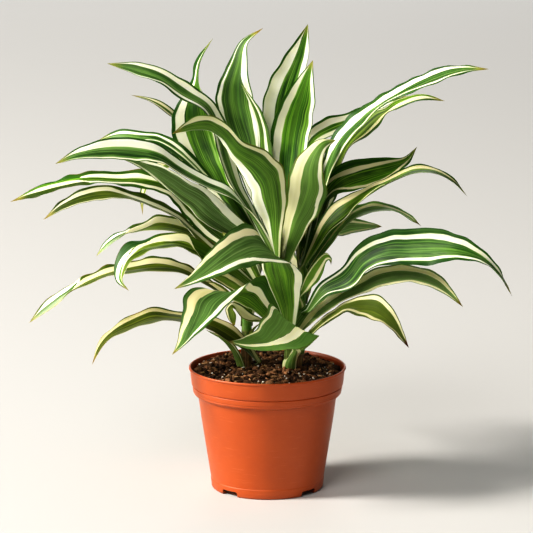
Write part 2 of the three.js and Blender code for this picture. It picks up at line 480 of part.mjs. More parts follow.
    [29, -4.5, 115.5, -1.85, 4.81, 0.46, 1.04],
    [35.4, -10, 125.1, -0.84, 6.37, 0.87, 1.3],
    [43.1, -15.5, 133.3, -0.24, 8.26, 1.47, 1.68],
    [51.6, -21.2, 140.4, 0.65, 10.08, 1.92, 2.06],
    [60.3, -27.6, 147, 1.48, 11.01, 2.63, 2.28],
    [70.3, -35, 149.2, 2.66, 10.41, 5.52, 2.42],
    [80.2, -43, 149.7, 3.9, 9.28, 7.07, 2.46],
    [88.6, -51.2, 145.9, 3.66, 8.81, 4.63, 2.12],
    [95.1, -59.4, 140, 2.85, 7.77, 2.49, 1.73],
    [100, -67.7, 133, 1.71, 4.71, 1.18, 1.03],
    [104.7, -76, 125.8, -0, -0, -0, 0],
  ],
  leaf_35: [
    [23.2, -19, 111.1, 4.49, -5.8, 1.35, 1.49],
    [23.9, -25.6, 120.8, 9.86, -1.45, -2.41, 2.05],
    [24, -32.2, 130.6, 14.4, 0, -6.17, 3.13],
    [20.7, -39, 138.7, 17.11, 0, -12.42, 4.23],
    [15.6, -46.3, 134, 16.4, -0.62, -12.64, 4.14],
    [9.6, -53.9, 130.4, 14.9, -3.75, -9.28, 3.59],
    [2.6, -61.2, 128.2, 12.51, -8.56, -5.29, 3.21],
    [-5.2, -67.9, 128.2, 9.09, -11.12, -3.6, 2.96],
    [-13, -74, 128.4, 5.35, -10.3, -2.44, 2.37],
    [-20.7, -80, 130.2, 2.32, -6.43, -1.22, 1.39],
    [-28.3, -86, 133.5, 0, 0, -0, 0],
  ],
  leaf_36: [
    [15.3, -12.2, 126.2, 2.61, -6.58, 2.65, 1.51],
    [6.3, -17.6, 137, 6.62, -5.03, 5.14, 1.95],
    [-1.9, -22.9, 148.3, 8.9, -3.58, 6.72, 2.34],
    [-10.4, -29, 159.4, 10.57, -3.46, 11.15, 3.15],
    [-21.9, -37.6, 163.9, 12.39, -6.57, 8.18, 3.25],
    [-34.3, -47.6, 164.3, 15.4, -6.53, -0.28, 3.35],
    [-44.1, -57.9, 160, 16.9, -4.08, -2.51, 3.51],
    [-49.9, -68.1, 150.8, 13.26, -6.17, -0.59, 2.93],
    [-55.8, -78.2, 141.8, 8.81, -8.05, 0.75, 2.39],
    [-62, -88.2, 133, 5.08, -5.27, 2.58, 1.55],
    [-70, -98, 125.7, 0, 0, 0, 0],
  ],
  leaf_37: [
    [17.4, -22.8, 130.6, 4.11, -5.79, 2.08, 1.48],
    [16.1, -28.8, 146.8, 7.66, -3.55, 1.2, 1.71],
    [13.3, -34.8, 162.8, 12.15, -1.05, -1.66, 2.46],
    [10.6, -40.6, 178.5, 15.49, -0.89, -4.6, 3.24],
    [6.3, -47.2, 193.8, 12.1, -2.82, -10.07, 3.2],
    [-6.6, -55.7, 201, 8.73, -4.81, -13.89, 3.42],
    [-20.3, -65.1, 198.8, 7.27, -7.2, -12.21, 3.19],
    [-32.5, -74.7, 193.4, 6.13, -9.33, -8.4, 2.79],
    [-44.1, -84.3, 187, 4.5, -9.3, -4.61, 2.26],
    [-55.6, -94.1, 180.7, 2.43, -6.03, -1.5, 1.34],
    [-68, -104, 176.4, 0, 0, -0, 0],
  ],
  leaf_38: [
    [-2.6, 14.2, 191.9, 1.53, -4.05, 1.57, 0.92],
    [-10.1, 25.5, 203.4, 1.86, -5.24, 1.9, 1.18],
    [-17.7, 34.9, 215.3, 2.21, -6.84, 2.28, 1.51],
    [-25.3, 44, 227.4, 2.57, -8.49, 2.66, 1.85],
    [-33.8, 52, 239.2, 2.64, -9.8, 2.75, 2.1],
    [-43.7, 58.2, 250.3, 2.28, -10.51, 2.41, 2.2],
    [-53.9, 63.4, 261.4, 1.55, -10.33, 1.53, 2.11],
    [-65.3, 68.4, 271.4, 0.14, -9.18, -0.31, 1.84],
    [-77.1, 73.6, 281, -0.98, -7.14, -1.87, 1.49],
    [-90.8, 78.8, 287.9, -0.21, -4.11, -0.96, 0.84],
    [-106.2, 84, 290.8, 0, 0, 0, 0],
  ],
  leaf_39: [
    [-1.8, -6, 148.2, 2.28, -3.07, 1.83, 0.85],
    [-4, -8, 154.4, 2.76, -4, 2.42, 1.09],
    [-6.2, -9.9, 160.7, 3.24, -5.36, 3.11, 1.4],
    [-8.9, -11, 166.4, 3.73, -6.73, 3.86, 1.72],
    [-11.8, -11.3, 171.9, 4.26, -7.66, 4.56, 1.98],
    [-14.9, -11.3, 177.2, 4.56, -7.98, 5.01, 2.09],
    [-18.2, -10.9, 182.3, 4.66, -7.5, 5.2, 2.05],
    [-21.8, -10.1, 187.2, 4.52, -6.32, 5.07, 1.85],
    [-25.5, -8.7, 191.8, 4.04, -4.74, 4.63, 1.55],
    [-30, -7.3, 195.7, 2.36, -2.71, 2.65, 0.89],
    [-34.4, -6, 199.7, 0, 0, 0, 0],
  ],
  leaf_40: [
    [10.8, 12.9, 174.2, -5.18, -0.45, -0, 1.04],
    [10.1, 19.7, 191.9, -6.39, -0.57, -0.05, 1.28],
    [9.1, 26.5, 209, -8.54, -0.8, -0.16, 1.72],
    [7.6, 35.6, 224.5, -10.6, -1.07, -0.38, 2.13],
    [5.5, 47.1, 237.9, -12.04, -1.38, -0.67, 2.43],
    [2.9, 60.6, 248.7, -12.79, -1.71, -0.99, 2.59],
    [-0.3, 75.8, 256.6, -12.35, -1.98, -1.25, 2.51],
    [-4, 92.5, 261.1, -11.06, -2.16, -1.37, 2.27],
    [-8.1, 111.7, 261.7, -8.97, -2.14, -1.29, 1.86],
    [-12.4, 131.3, 258.6, -5.41, -1.57, -0.86, 1.14],
    [-16.9, 150.1, 252, -0, -0, -0, 0],
  ],
  leaf_41: [
    [-10.5, 16.8, 166.2, -4.77, -1.5, -0.19, 1],
    [-13.9, 23.4, 182.2, -5.8, -2.09, -0.19, 1.23],
    [-18, 31.6, 197, -7.65, -3.09, -0.15, 1.65],
    [-23.1, 41.7, 210.1, -9.37, -4.15, 0.01, 2.05],
    [-29, 53.7, 221, -10.54, -4.99, 0.31, 2.33],
    [-35.7, 67.2, 229.4, -11.14, -5.51, 0.7, 2.49],
    [-43, 81.9, 235.1, -10.75, -5.42, 1.07, 2.42],
    [-50.7, 97.3, 237.7, -9.69, -4.85, 1.31, 2.18],
    [-58.8, 113, 237.1, -7.98, -3.84, 1.33, 1.79],
    [-66.8, 128.4, 233.3, -4.92, -2.22, 0.93, 1.1],
    [-74.5, 142.9, 226.4, -0, -0, 0, 0],
  ],
  leaf_42: [
    [28.5, 13.4, 159.5, -5.15, 0.69, 0.21, 1.04],
    [30.4, 24.6, 174, -6.31, 1.12, 0.21, 1.28],
    [32.9, 37.1, 187.4, -8.38, 1.84, 0.16, 1.72],
    [35.9, 49.1, 199.5, -10.32, 2.66, -0.01, 2.13],
    [39.6, 61.5, 209.8, -11.65, 3.37, -0.33, 2.43],
    [43.8, 75.3, 217.8, -12.34, 3.84, -0.74, 2.59],
    [48.5, 90.3, 223, -11.91, 3.84, -1.11, 2.51],
    [53.7, 105.9, 225.4, -10.73, 3.46, -1.36, 2.27],
    [59.1, 121.9, 224.7, -8.8, 2.73, -1.38, 1.86],
    [64.6, 137.5, 221, -5.39, 1.55, -0.97, 1.14],
    [70, 152.2, 214.3, -0, 0, -0, 0],
  ],
  leaf_43: [
    [-15.1, 5.4, 152, -3.98, -2.65, -0.41, 0.96],
    [-21.3, 13, 163.3, -4.89, -3.31, -0.44, 1.18],
    [-28.1, 21.8, 173.4, -6.52, -4.47, -0.48, 1.58],
    [-35.5, 31.7, 181.9, -8.11, -5.57, -0.38, 1.97],
    [-43.2, 42.7, 188.5, -9.27, -6.28, -0.14, 2.24],
    [-51.1, 54.6, 193.1, -9.99, -6.55, 0.2, 2.39],
    [-59, 67.1, 195.4, -9.85, -6.11, 0.57, 2.32],
    [-66.7, 79.9, 195.3, -9.07, -5.19, 0.84, 2.1],
    [-74, 92.8, 192.7, -7.6, -3.91, 0.93, 1.72],
    [-80.6, 105.2, 187.8, -4.76, -2.12, 0.68, 1.05],
    [-86.5, 116.9, 180.5, -0, -0, 0, 0],
  ],
  leaf_44: [
    [28.2, 10.9, 150, -4.74, 0.65, 0.43, 0.96],
    [30.6, 20.9, 161, -5.83, 0.89, 0.46, 1.18],
    [33.1, 32, 170.7, -7.8, 1.29, 0.49, 1.58],
    [35.6, 44.4, 178.7, -9.69, 1.67, 0.39, 1.97],
    [38.1, 57.8, 184.9, -11.04, 1.89, 0.15, 2.24],
    [40.4, 72.1, 188.9, -11.79, 1.91, -0.2, 2.39],
    [42.6, 86.8, 190.7, -11.47, 1.63, -0.57, 2.32],
    [44.6, 101.6, 190.1, -10.38, 1.17, -0.83, 2.1],
    [46.3, 116.2, 187, -8.53, 0.62, -0.92, 1.72],
    [47.6, 130.1, 181.6, -5.21, 0.12, -0.67, 1.05],
    [48.6, 142.9, 173.8, -0, -0, -0, 0],
  ],
  leaf_45: [
    [11, 13.3, 180.3, -4.89, 1.03, -0.07, 1],
    [11.3, 17.5, 196.3, -6.03, 1.27, -0.13, 1.23],
    [11.9, 23.4, 211.8, -8.07, 1.68, -0.22, 1.65],
    [12.7, 30.7, 226.9, -10.04, 2.06, -0.31, 2.05],
    [13.8, 38.8, 241.4, -11.43, 2.32, -0.38, 2.33],
    [15.2, 47.5, 255, -12.2, 2.45, -0.4, 2.49],
    [16.9, 56.8, 267.7, -11.84, 2.36, -0.36, 2.42],
    [19.1, 66.3, 279.1, -10.7, 2.14, -0.27, 2.18],
    [21.6, 77, 288.8, -8.78, 1.77, -0.16, 1.79],
    [24.4, 88.9, 296.7, -5.36, 1.1, -0.05, 1.1],
    [27.6, 101.6, 302.6, -0, 0, -0, 0],
  ],
  leaf_46: [
    [-15.6, 5.4, 134, -4.95, -0.7, -0, 1],
    [-17.4, 17.5, 142.7, -6.11, -0.84, -0.14, 1.23],
    [-19.4, 30.4, 150.1, -8.16, -1.13, -0.39, 1.65],
    [-21.7, 44, 155.8, -10.11, -1.48, -0.76, 2.05],
    [-24.2, 58.3, 159.7, -11.46, -1.86, -1.2, 2.33],
    [-27, 72.9, 161.7, -12.13, -2.25, -1.62, 2.49],
    [-29.9, 87.6, 161.7, -11.66, -2.54, -1.88, 2.42],
    [-33, 102.1, 159.5, -10.4, -2.69, -1.94, 2.18],
    [-36.1, 116.1, 155.2, -8.4, -2.59, -1.74, 1.79],
    [-39.2, 129.3, 148.9, -5.04, -1.84, -1.11, 1.1],
    [-42.1, 141.4, 140.6, -0, -0, -0, 0],
  ],
  leaf_47: [
    [24.7, 10.5, 140, -4.85, -1.21, -0, 1],
    [21.7, 22.8, 149, -5.97, -1.53, 0.14, 1.23],
    [18.6, 35.9, 156.6, -7.98, -2.07, 0.39, 1.65],
    [15.4, 49.8, 162.5, -9.91, -2.52, 0.76, 2.05],
    [12.1, 64.4, 166.6, -11.28, -2.73, 1.2, 2.33],
    [8.9, 79.4, 168.7, -12.05, -2.67, 1.62, 2.49],
    [5.7, 94.6, 168.6, -11.72, -2.26, 1.88, 2.42],
    [2.7, 109.6, 166.4, -10.61, -1.67, 1.94, 2.18],
    [-0.2, 124.2, 161.9, -8.73, -0.99, 1.74, 1.79],
    [-2.7, 138, 155.4, -5.35, -0.35, 1.11, 1.1],
    [-5, 150.6, 146.8, -0, -0, 0, 0],
  ],
  leaf_48: [
    [12.5, 1.1, 160, -4.97, -1.44, 0.47, 1.04],
    [10.6, 12.2, 172.1, -6.22, -1.49, 0.5, 1.28],
    [8.7, 24.7, 182.6, -8.4, -1.63, 0.53, 1.72],
    [6.7, 38.6, 191.3, -10.53, -1.63, 0.43, 2.13],
    [4.8, 53.6, 197.7, -12.04, -1.49, 0.16, 2.43],
    [3.1, 69.5, 201.7, -12.88, -1.32, -0.22, 2.59],
    [1.5, 85.8, 203.1, -12.5, -1.14, -0.61, 2.51],
    [0.1, 102.2, 201.7, -11.27, -1.02, -0.9, 2.27],
    [-1, 118.1, 197.5, -9.22, -0.93, -0.98, 1.86],
    [-1.9, 133.1, 190.7, -5.61, -0.68, -0.71, 1.14],
    [-2.4, 146.6, 181.3, -0, -0, -0, 0],
  ],
  leaf_49: [
    [27.2, 20.2, 170.2, -4.39, 0.28, -0.21, 0.88],
    [26.6, 24.6, 185.4, -5.42, 0.06, -0.28, 1.09],
    [25.8, 29.8, 200.3, -7.24, -0.29, -0.36, 1.45],
    [24.6, 36.9, 214.2, -8.98, -0.81, -0.36, 1.8],
    [23.1, 45.9, 226.8, -10.17, -1.38, -0.24, 2.05],
    [21.2, 56.8, 237.9, -10.79, -1.9, 0, 2.19],
    [18.8, 69.4, 247.3, -10.4, -2.18, 0.32, 2.13],
    [16.1, 83.4, 254.7, -9.33, -2.19, 0.61, 1.92],
    [12.9, 98.1, 260, -7.61, -1.89, 0.79, 1.58],
    [9.4, 111.6, 263.4, -4.63, -1.17, 0.67, 0.96],
    [5.7, 124.6, 264.6, -0, -0, 0, 0],
  ],
};

// The cane that carries each leaf.
const SHOOT_OF = {
  leaf_01: 'A', leaf_02: 'B', leaf_03: 'A', leaf_04: 'B', leaf_05: 'B', leaf_06: 'B',
  leaf_07: 'B', leaf_08: 'B', leaf_09: 'B', leaf_10: 'B', leaf_11: 'B', leaf_12: 'B',
  leaf_13: 'B', leaf_14: 'B', leaf_15: 'B', leaf_16: 'A', leaf_17: 'A', leaf_18: 'B',
  leaf_19: 'A', leaf_20: 'A', leaf_21: 'A', leaf_22: 'A', leaf_23: 'A', leaf_24: 'C',
  leaf_25: 'C', leaf_26: 'A', leaf_27: 'C', leaf_28: 'C', leaf_29: 'C', leaf_30: 'C',
  leaf_31: 'C', leaf_32: 'C', leaf_33: 'C', leaf_34: 'C', leaf_35: 'A', leaf_36: 'A',
  leaf_37: 'A', leaf_38: 'B', leaf_39: 'B', leaf_40: 'A', leaf_41: 'B', leaf_42: 'C',
  leaf_43: 'B', leaf_44: 'C', leaf_45: 'A', leaf_46: 'B', leaf_47: 'C', leaf_48: 'A',
  leaf_49: 'C',
};

// ---- materials -------------------------------------------------------------
const plastic = new THREE.MeshStandardMaterial({ color: 0xcb6236, roughness: 0.42, metalness: 0 });
const peat = new THREE.MeshStandardMaterial({ color: 0x33241a, roughness: 0.95, metalness: 0 });
const bark = new THREE.MeshStandardMaterial({ color: 0x6f7d3c, roughness: 0.7, metalness: 0 });
const blade = new THREE.MeshStandardMaterial({ color: 0x4c8a34, roughness: 0.4, metalness: 0 });

// ---- solids ----------------------------------------------------------------
function toManifold(geometry) {
  const g = geometry.clone();
  for (const name of Object.keys(g.attributes)) if (name !== 'position') g.deleteAttribute(name);
  const m = mergeVertices(g, 1e-4);
  return new wasm.Manifold(new wasm.Mesh({
    numProp: 3,
    vertProperties: Float32Array.from(m.attributes.position.array),
    triVerts: Uint32Array.from(m.index.array),
  }));
}
function toGeometry(solid) {
  const mesh = solid.getMesh();
  const g = new THREE.BufferGeometry();
  g.setAttribute('position', new THREE.BufferAttribute(Float32Array.from(mesh.vertProperties), 3));
  g.setIndex(new THREE.BufferAttribute(Uint32Array.from(mesh.triVerts), 1));
  g.computeVertexNormals();
  return g;
}
// Turned solid about +Z from a closed profile of [radius, height].
function turned(profile, segments) {
  const g = new THREE.LatheGeometry(profile.map(([r, z]) => new THREE.Vector2(r, z)), segments);
  g.rotateX(Math.PI / 2);
  const solid = toManifold(g);
  return solid.volume() > 0 ? solid : toManifold(flipped(g));
}
function flipped(geometry) {
  const g = geometry.index ? geometry.toNonIndexed() : geometry.clone();
  const p = g.attributes.position.array;
  for (let i = 0; i < p.length; i += 9) {
    for (let k = 0; k < 3; k++) { const t = p[i + 3 + k]; p[i + 3 + k] = p[i + 6 + k]; p[i + 6 + k] = t; }
  }
  return g;
}

// Catmull-Rom interpolation of rows of numbers at position u (0 .. rows-1).
function spline(rows, u) {
  const n = rows.length;
  const i = Math.min(Math.floor(u), n - 2);
  const f = u - i;
  const row = (j) => {
    if (j < 0) return rows[0].map((v, k) => 2 * v - rows[1][k]);
    if (j > n - 1) return rows[n - 1].map((v, k) => 2 * v - rows[n - 2][k]);
    return rows[j];
  };
  const [a, b, c, d] = [row(i - 1), row(i), row(i + 1), row(i + 2)];
  return b.map((_, k) => 0.5 * (2 * b[k] + (c[k] - a[k]) * f
    + (2 * a[k] - 5 * b[k] + 4 * c[k] - d[k]) * f * f + (3 * b[k] - a[k] - 3 * c[k] + d[k]) * f * f * f));
}

// One leaf blade: a thin lens-shaped section, channelled along its midrib,
// swept through the leaf's stations to a pointed tip.
function leafSolid(rows) {
  const V = [-1, -0.5, 0, 0.5, 1];
  const rings = [];
  for (let s = 0; s < LEAF_RINGS; s++) {
    const u = (s / LEAF_RINGS) ** 0.94 * (rows.length - 1);
    const q = spline(rows, u);
    const ahead = spline(rows, Math.min(u + 0.2, rows.length - 1));
    const back = spline(rows, Math.max(u - 0.2, 0));
    const along = new THREE.Vector3(ahead[0] - back[0], ahead[1] - back[1], ahead[2] - back[2]).normalize();
    const half = new THREE.Vector3(q[3], q[4], q[5]);
    const normal = new THREE.Vector3().crossVectors(along, half).normalize();
    const width = half.length();
    const depth = q[6];
    const thick = Math.min(LEAF_THICKNESS, 0.3 * width) / 2;
    const at = (v, side) => new THREE.Vector3(q[0], q[1], q[2])
      .addScaledVector(half, v)
      .addScaledVector(normal, (v * v - 1) * depth + side * thick * (1 - v * v));
    rings.push([...V.map((v) => at(v, 1)), at(0.5, -1), at(0, -1), at(-0.5, -1)]);
  }
  const tipRow = rows[rows.length - 1];
  const tip = new THREE.Vector3(tipRow[0], tipRow[1], tipRow[2]);
  const pos = [];
  const idx = [];
  for (const ring of rings) for (const p of ring) pos.push(p.x, p.y, p.z);
  const n = rings[0].length;
  for (let s = 0; s + 1 < rings.length; s++) {
    for (let k = 0; k < n; k++) {
      const a = s * n + k, b = s * n + (k + 1) % n, c = a + n, d = b + n;
      // the lower side is split along the same diagonals as the upper side
      if (k < 4) idx.push(a, b, c, b, d, c);
      else idx.push(a, b, d, a, d, c);
    }
  }
  const last = (rings.length - 1) * n;
  const tipIndex = pos.length / 3;
  pos.push(tip.x, tip.y, tip.z);
  for (let k = 0; k < n; k++) idx.push(last + k, last + (k + 1) % n, tipIndex);
  // base cap, in strips between the upper and the lower side
  idx.push(0, 7, 1, 1, 7, 6, 1, 6, 2, 2, 6, 3, 3, 6, 5, 3, 5, 4);
  const g = new THREE.BufferGeometry();
  g.setAttribute('position', new THREE.Float32BufferAttribute(pos, 3));
  g.setIndex(idx);
  let solid = toManifold(g);
  if (solid.volume() < 0) solid = toManifold(flipped(g));
  return solid;
}

// One cane: a round stem that tapers upwards along its line of points.
function caneSolid(points, extra) {
  const curve = new THREE.CatmullRomCurve3(points.map((p) => new THREE.Vector3(...p)));
  const STEPS = 10, SIDES = 12;
  const pos = [], idx = [];
  for (let s = 0; s <= STEPS; s++) {
    const p = curve.getPointAt(s / STEPS);
    const t = curve.getTangentAt(s / STEPS);
    const x = new THREE.Vector3(0, 1, 0).cross(t).normalize();
    const y = new THREE.Vector3().crossVectors(t, x);
    const r = CANE_R + (CANE_TOP_R - CANE_R) * Math.max(0, (s / STEPS - 0.25) / 0.75) + extra;
    for (let k = 0; k < SIDES; k++) {
      const a = (k / SIDES) * 2 * Math.PI;
      const q = p.clone().addScaledVector(x, r * Math.cos(a)).addScaledVector(y, r * Math.sin(a));
      pos.push(q.x, q.y, q.z);
    }
  }
  for (let s = 0; s < STEPS; s++) {
    for (let k = 0; k < SIDES; k++) {
      const a = s * SIDES + k, b = s * SIDES + (k + 1) % SIDES, c = a + SIDES, d = b + SIDES;
      idx.push(a, b, c, b, d, c);
    }
  }
  for (let k = 1; k + 1 < SIDES; k++) idx.push(0, k + 1, k);
  const top = STEPS * SIDES;
  for (let k = 1; k + 1 < SIDES; k++) idx.push(top, top + k, top + k + 1);
  const g = new THREE.BufferGeometry();
  g.setAttribute('position', new THREE.Float32BufferAttribute(pos, 3));
  g.setIndex(idx);
  let solid = toManifold(g);
  if (solid.volume() < 0) solid = toManifold(flipped(g));
  return solid;
}

const plant = new THREE.Group();
plant.name = 'potted_dracaena';
function add(parent, name, solid, material) {
  const mesh = new THREE.Mesh(toGeometry(solid), material);
  mesh.name = name;
  parent.add(mesh);
  return mesh;
}

// ---- pot: one thin moulding with a rolled lip and four drain notches -------
const potProfile = [[0, 0], ...POT_OUTER, ...POT_INNER, [0, POT_FLOOR]];
let pot = turned(potProfile, POT_SEGMENTS);
for (const angle of NOTCH_ANGLES) {
  const box = new THREE.BoxGeometry(9, NOTCH_WIDTH, 2 * NOTCH_HEIGHT);
  box.translate(41.5, 0, 0);
  box.rotateZ(THREE.MathUtils.degToRad(angle));
  pot = pot.subtract(toManifold(box));
}
add(plant, 'nursery_pot', pot, plastic);

// ---- potting soil: fills the pot and is heaped round the canes -------------
const soilTop = [];
for (let i = 0; i <= 6; i++) {
  const r = 55.9 * (1 - i / 6);
  soilTop.push([Math.max(r, 0), SOIL_EDGE_Z + SOIL_MOUND * (1 - (r / 55.9) ** 2) ** 1.1]);
}
let soil = turned([
  [0, POT_FLOOR + GAP], [41.2, POT_FLOOR + GAP], [43.1, 16.8], [46.1, 36.3], [49.1, 55.8], [51.1, 71.4], [51.6, 74.3], [54.7, 75.7], [55.6, 78.1],
  ...soilTop,
], 36);
for (const points of Object.values(CANES)) soil = soil.subtract(caneSolid(points, GAP));
add(plant, 'potting_soil', soil, peat);

// ---- canes and their leaves ------------------------------------------------
const shoots = {};
for (const [key, points] of Object.entries(CANES)) {
  shoots[key] = new THREE.Group();
  plant.add(shoots[key]);
  add(shoots[key], `cane_${key}`, caneSolid(points, 0), bark);
}
for (const [name, rows] of Object.entries(LEAVES)) add(shoots[SHOOT_OF[name]], name, leafSolid(rows), blade);

export default plant;
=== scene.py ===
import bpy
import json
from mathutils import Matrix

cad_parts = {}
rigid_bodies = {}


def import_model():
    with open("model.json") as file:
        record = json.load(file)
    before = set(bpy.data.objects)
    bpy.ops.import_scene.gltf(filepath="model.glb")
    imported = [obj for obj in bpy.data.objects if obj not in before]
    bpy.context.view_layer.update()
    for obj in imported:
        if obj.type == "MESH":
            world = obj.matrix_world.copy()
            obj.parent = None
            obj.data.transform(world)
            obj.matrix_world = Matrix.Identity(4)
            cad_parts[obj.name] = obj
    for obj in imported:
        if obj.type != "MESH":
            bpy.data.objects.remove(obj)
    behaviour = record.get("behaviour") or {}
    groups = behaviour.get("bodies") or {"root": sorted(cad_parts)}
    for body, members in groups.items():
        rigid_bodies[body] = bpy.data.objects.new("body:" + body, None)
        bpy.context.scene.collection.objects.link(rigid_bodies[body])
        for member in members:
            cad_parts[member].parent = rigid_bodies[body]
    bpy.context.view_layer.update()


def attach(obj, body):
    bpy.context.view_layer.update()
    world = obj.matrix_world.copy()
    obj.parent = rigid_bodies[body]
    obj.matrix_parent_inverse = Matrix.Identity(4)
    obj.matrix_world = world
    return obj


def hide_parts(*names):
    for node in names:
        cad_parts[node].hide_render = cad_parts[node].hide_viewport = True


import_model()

import json
import math
import random

import bmesh
import bpy
import numpy as np
from mathutils import Matrix, Vector, noise

MM = 0.001
ROOT = "root"

# Middle lines of the canes, foot to tip: x, y, z in millimetres.
CANES = {
    "A": [[15.9, -12.3, 76.2], [16.5, -10.0, 98.0], [17.2, -7.0, 126.2], [14.1, -5.0, 154.6], [10.3, 0.0, 183.0]],
    "B": [[-16.8, -8.3, 75.1], [-16.3, -5.0, 96.8], [-15.6, 0.0, 130.1], [-10.2, 2.0, 160.9], [-3.4, 6.0, 191.2]],
    "C": [[21.1, -0.0, 74.9], [22.7, 2.0, 96.8], [24.9, 5.0, 129.0], [27.2, 6.0, 152.3], [27.9, 6.0, 177.2]],
}

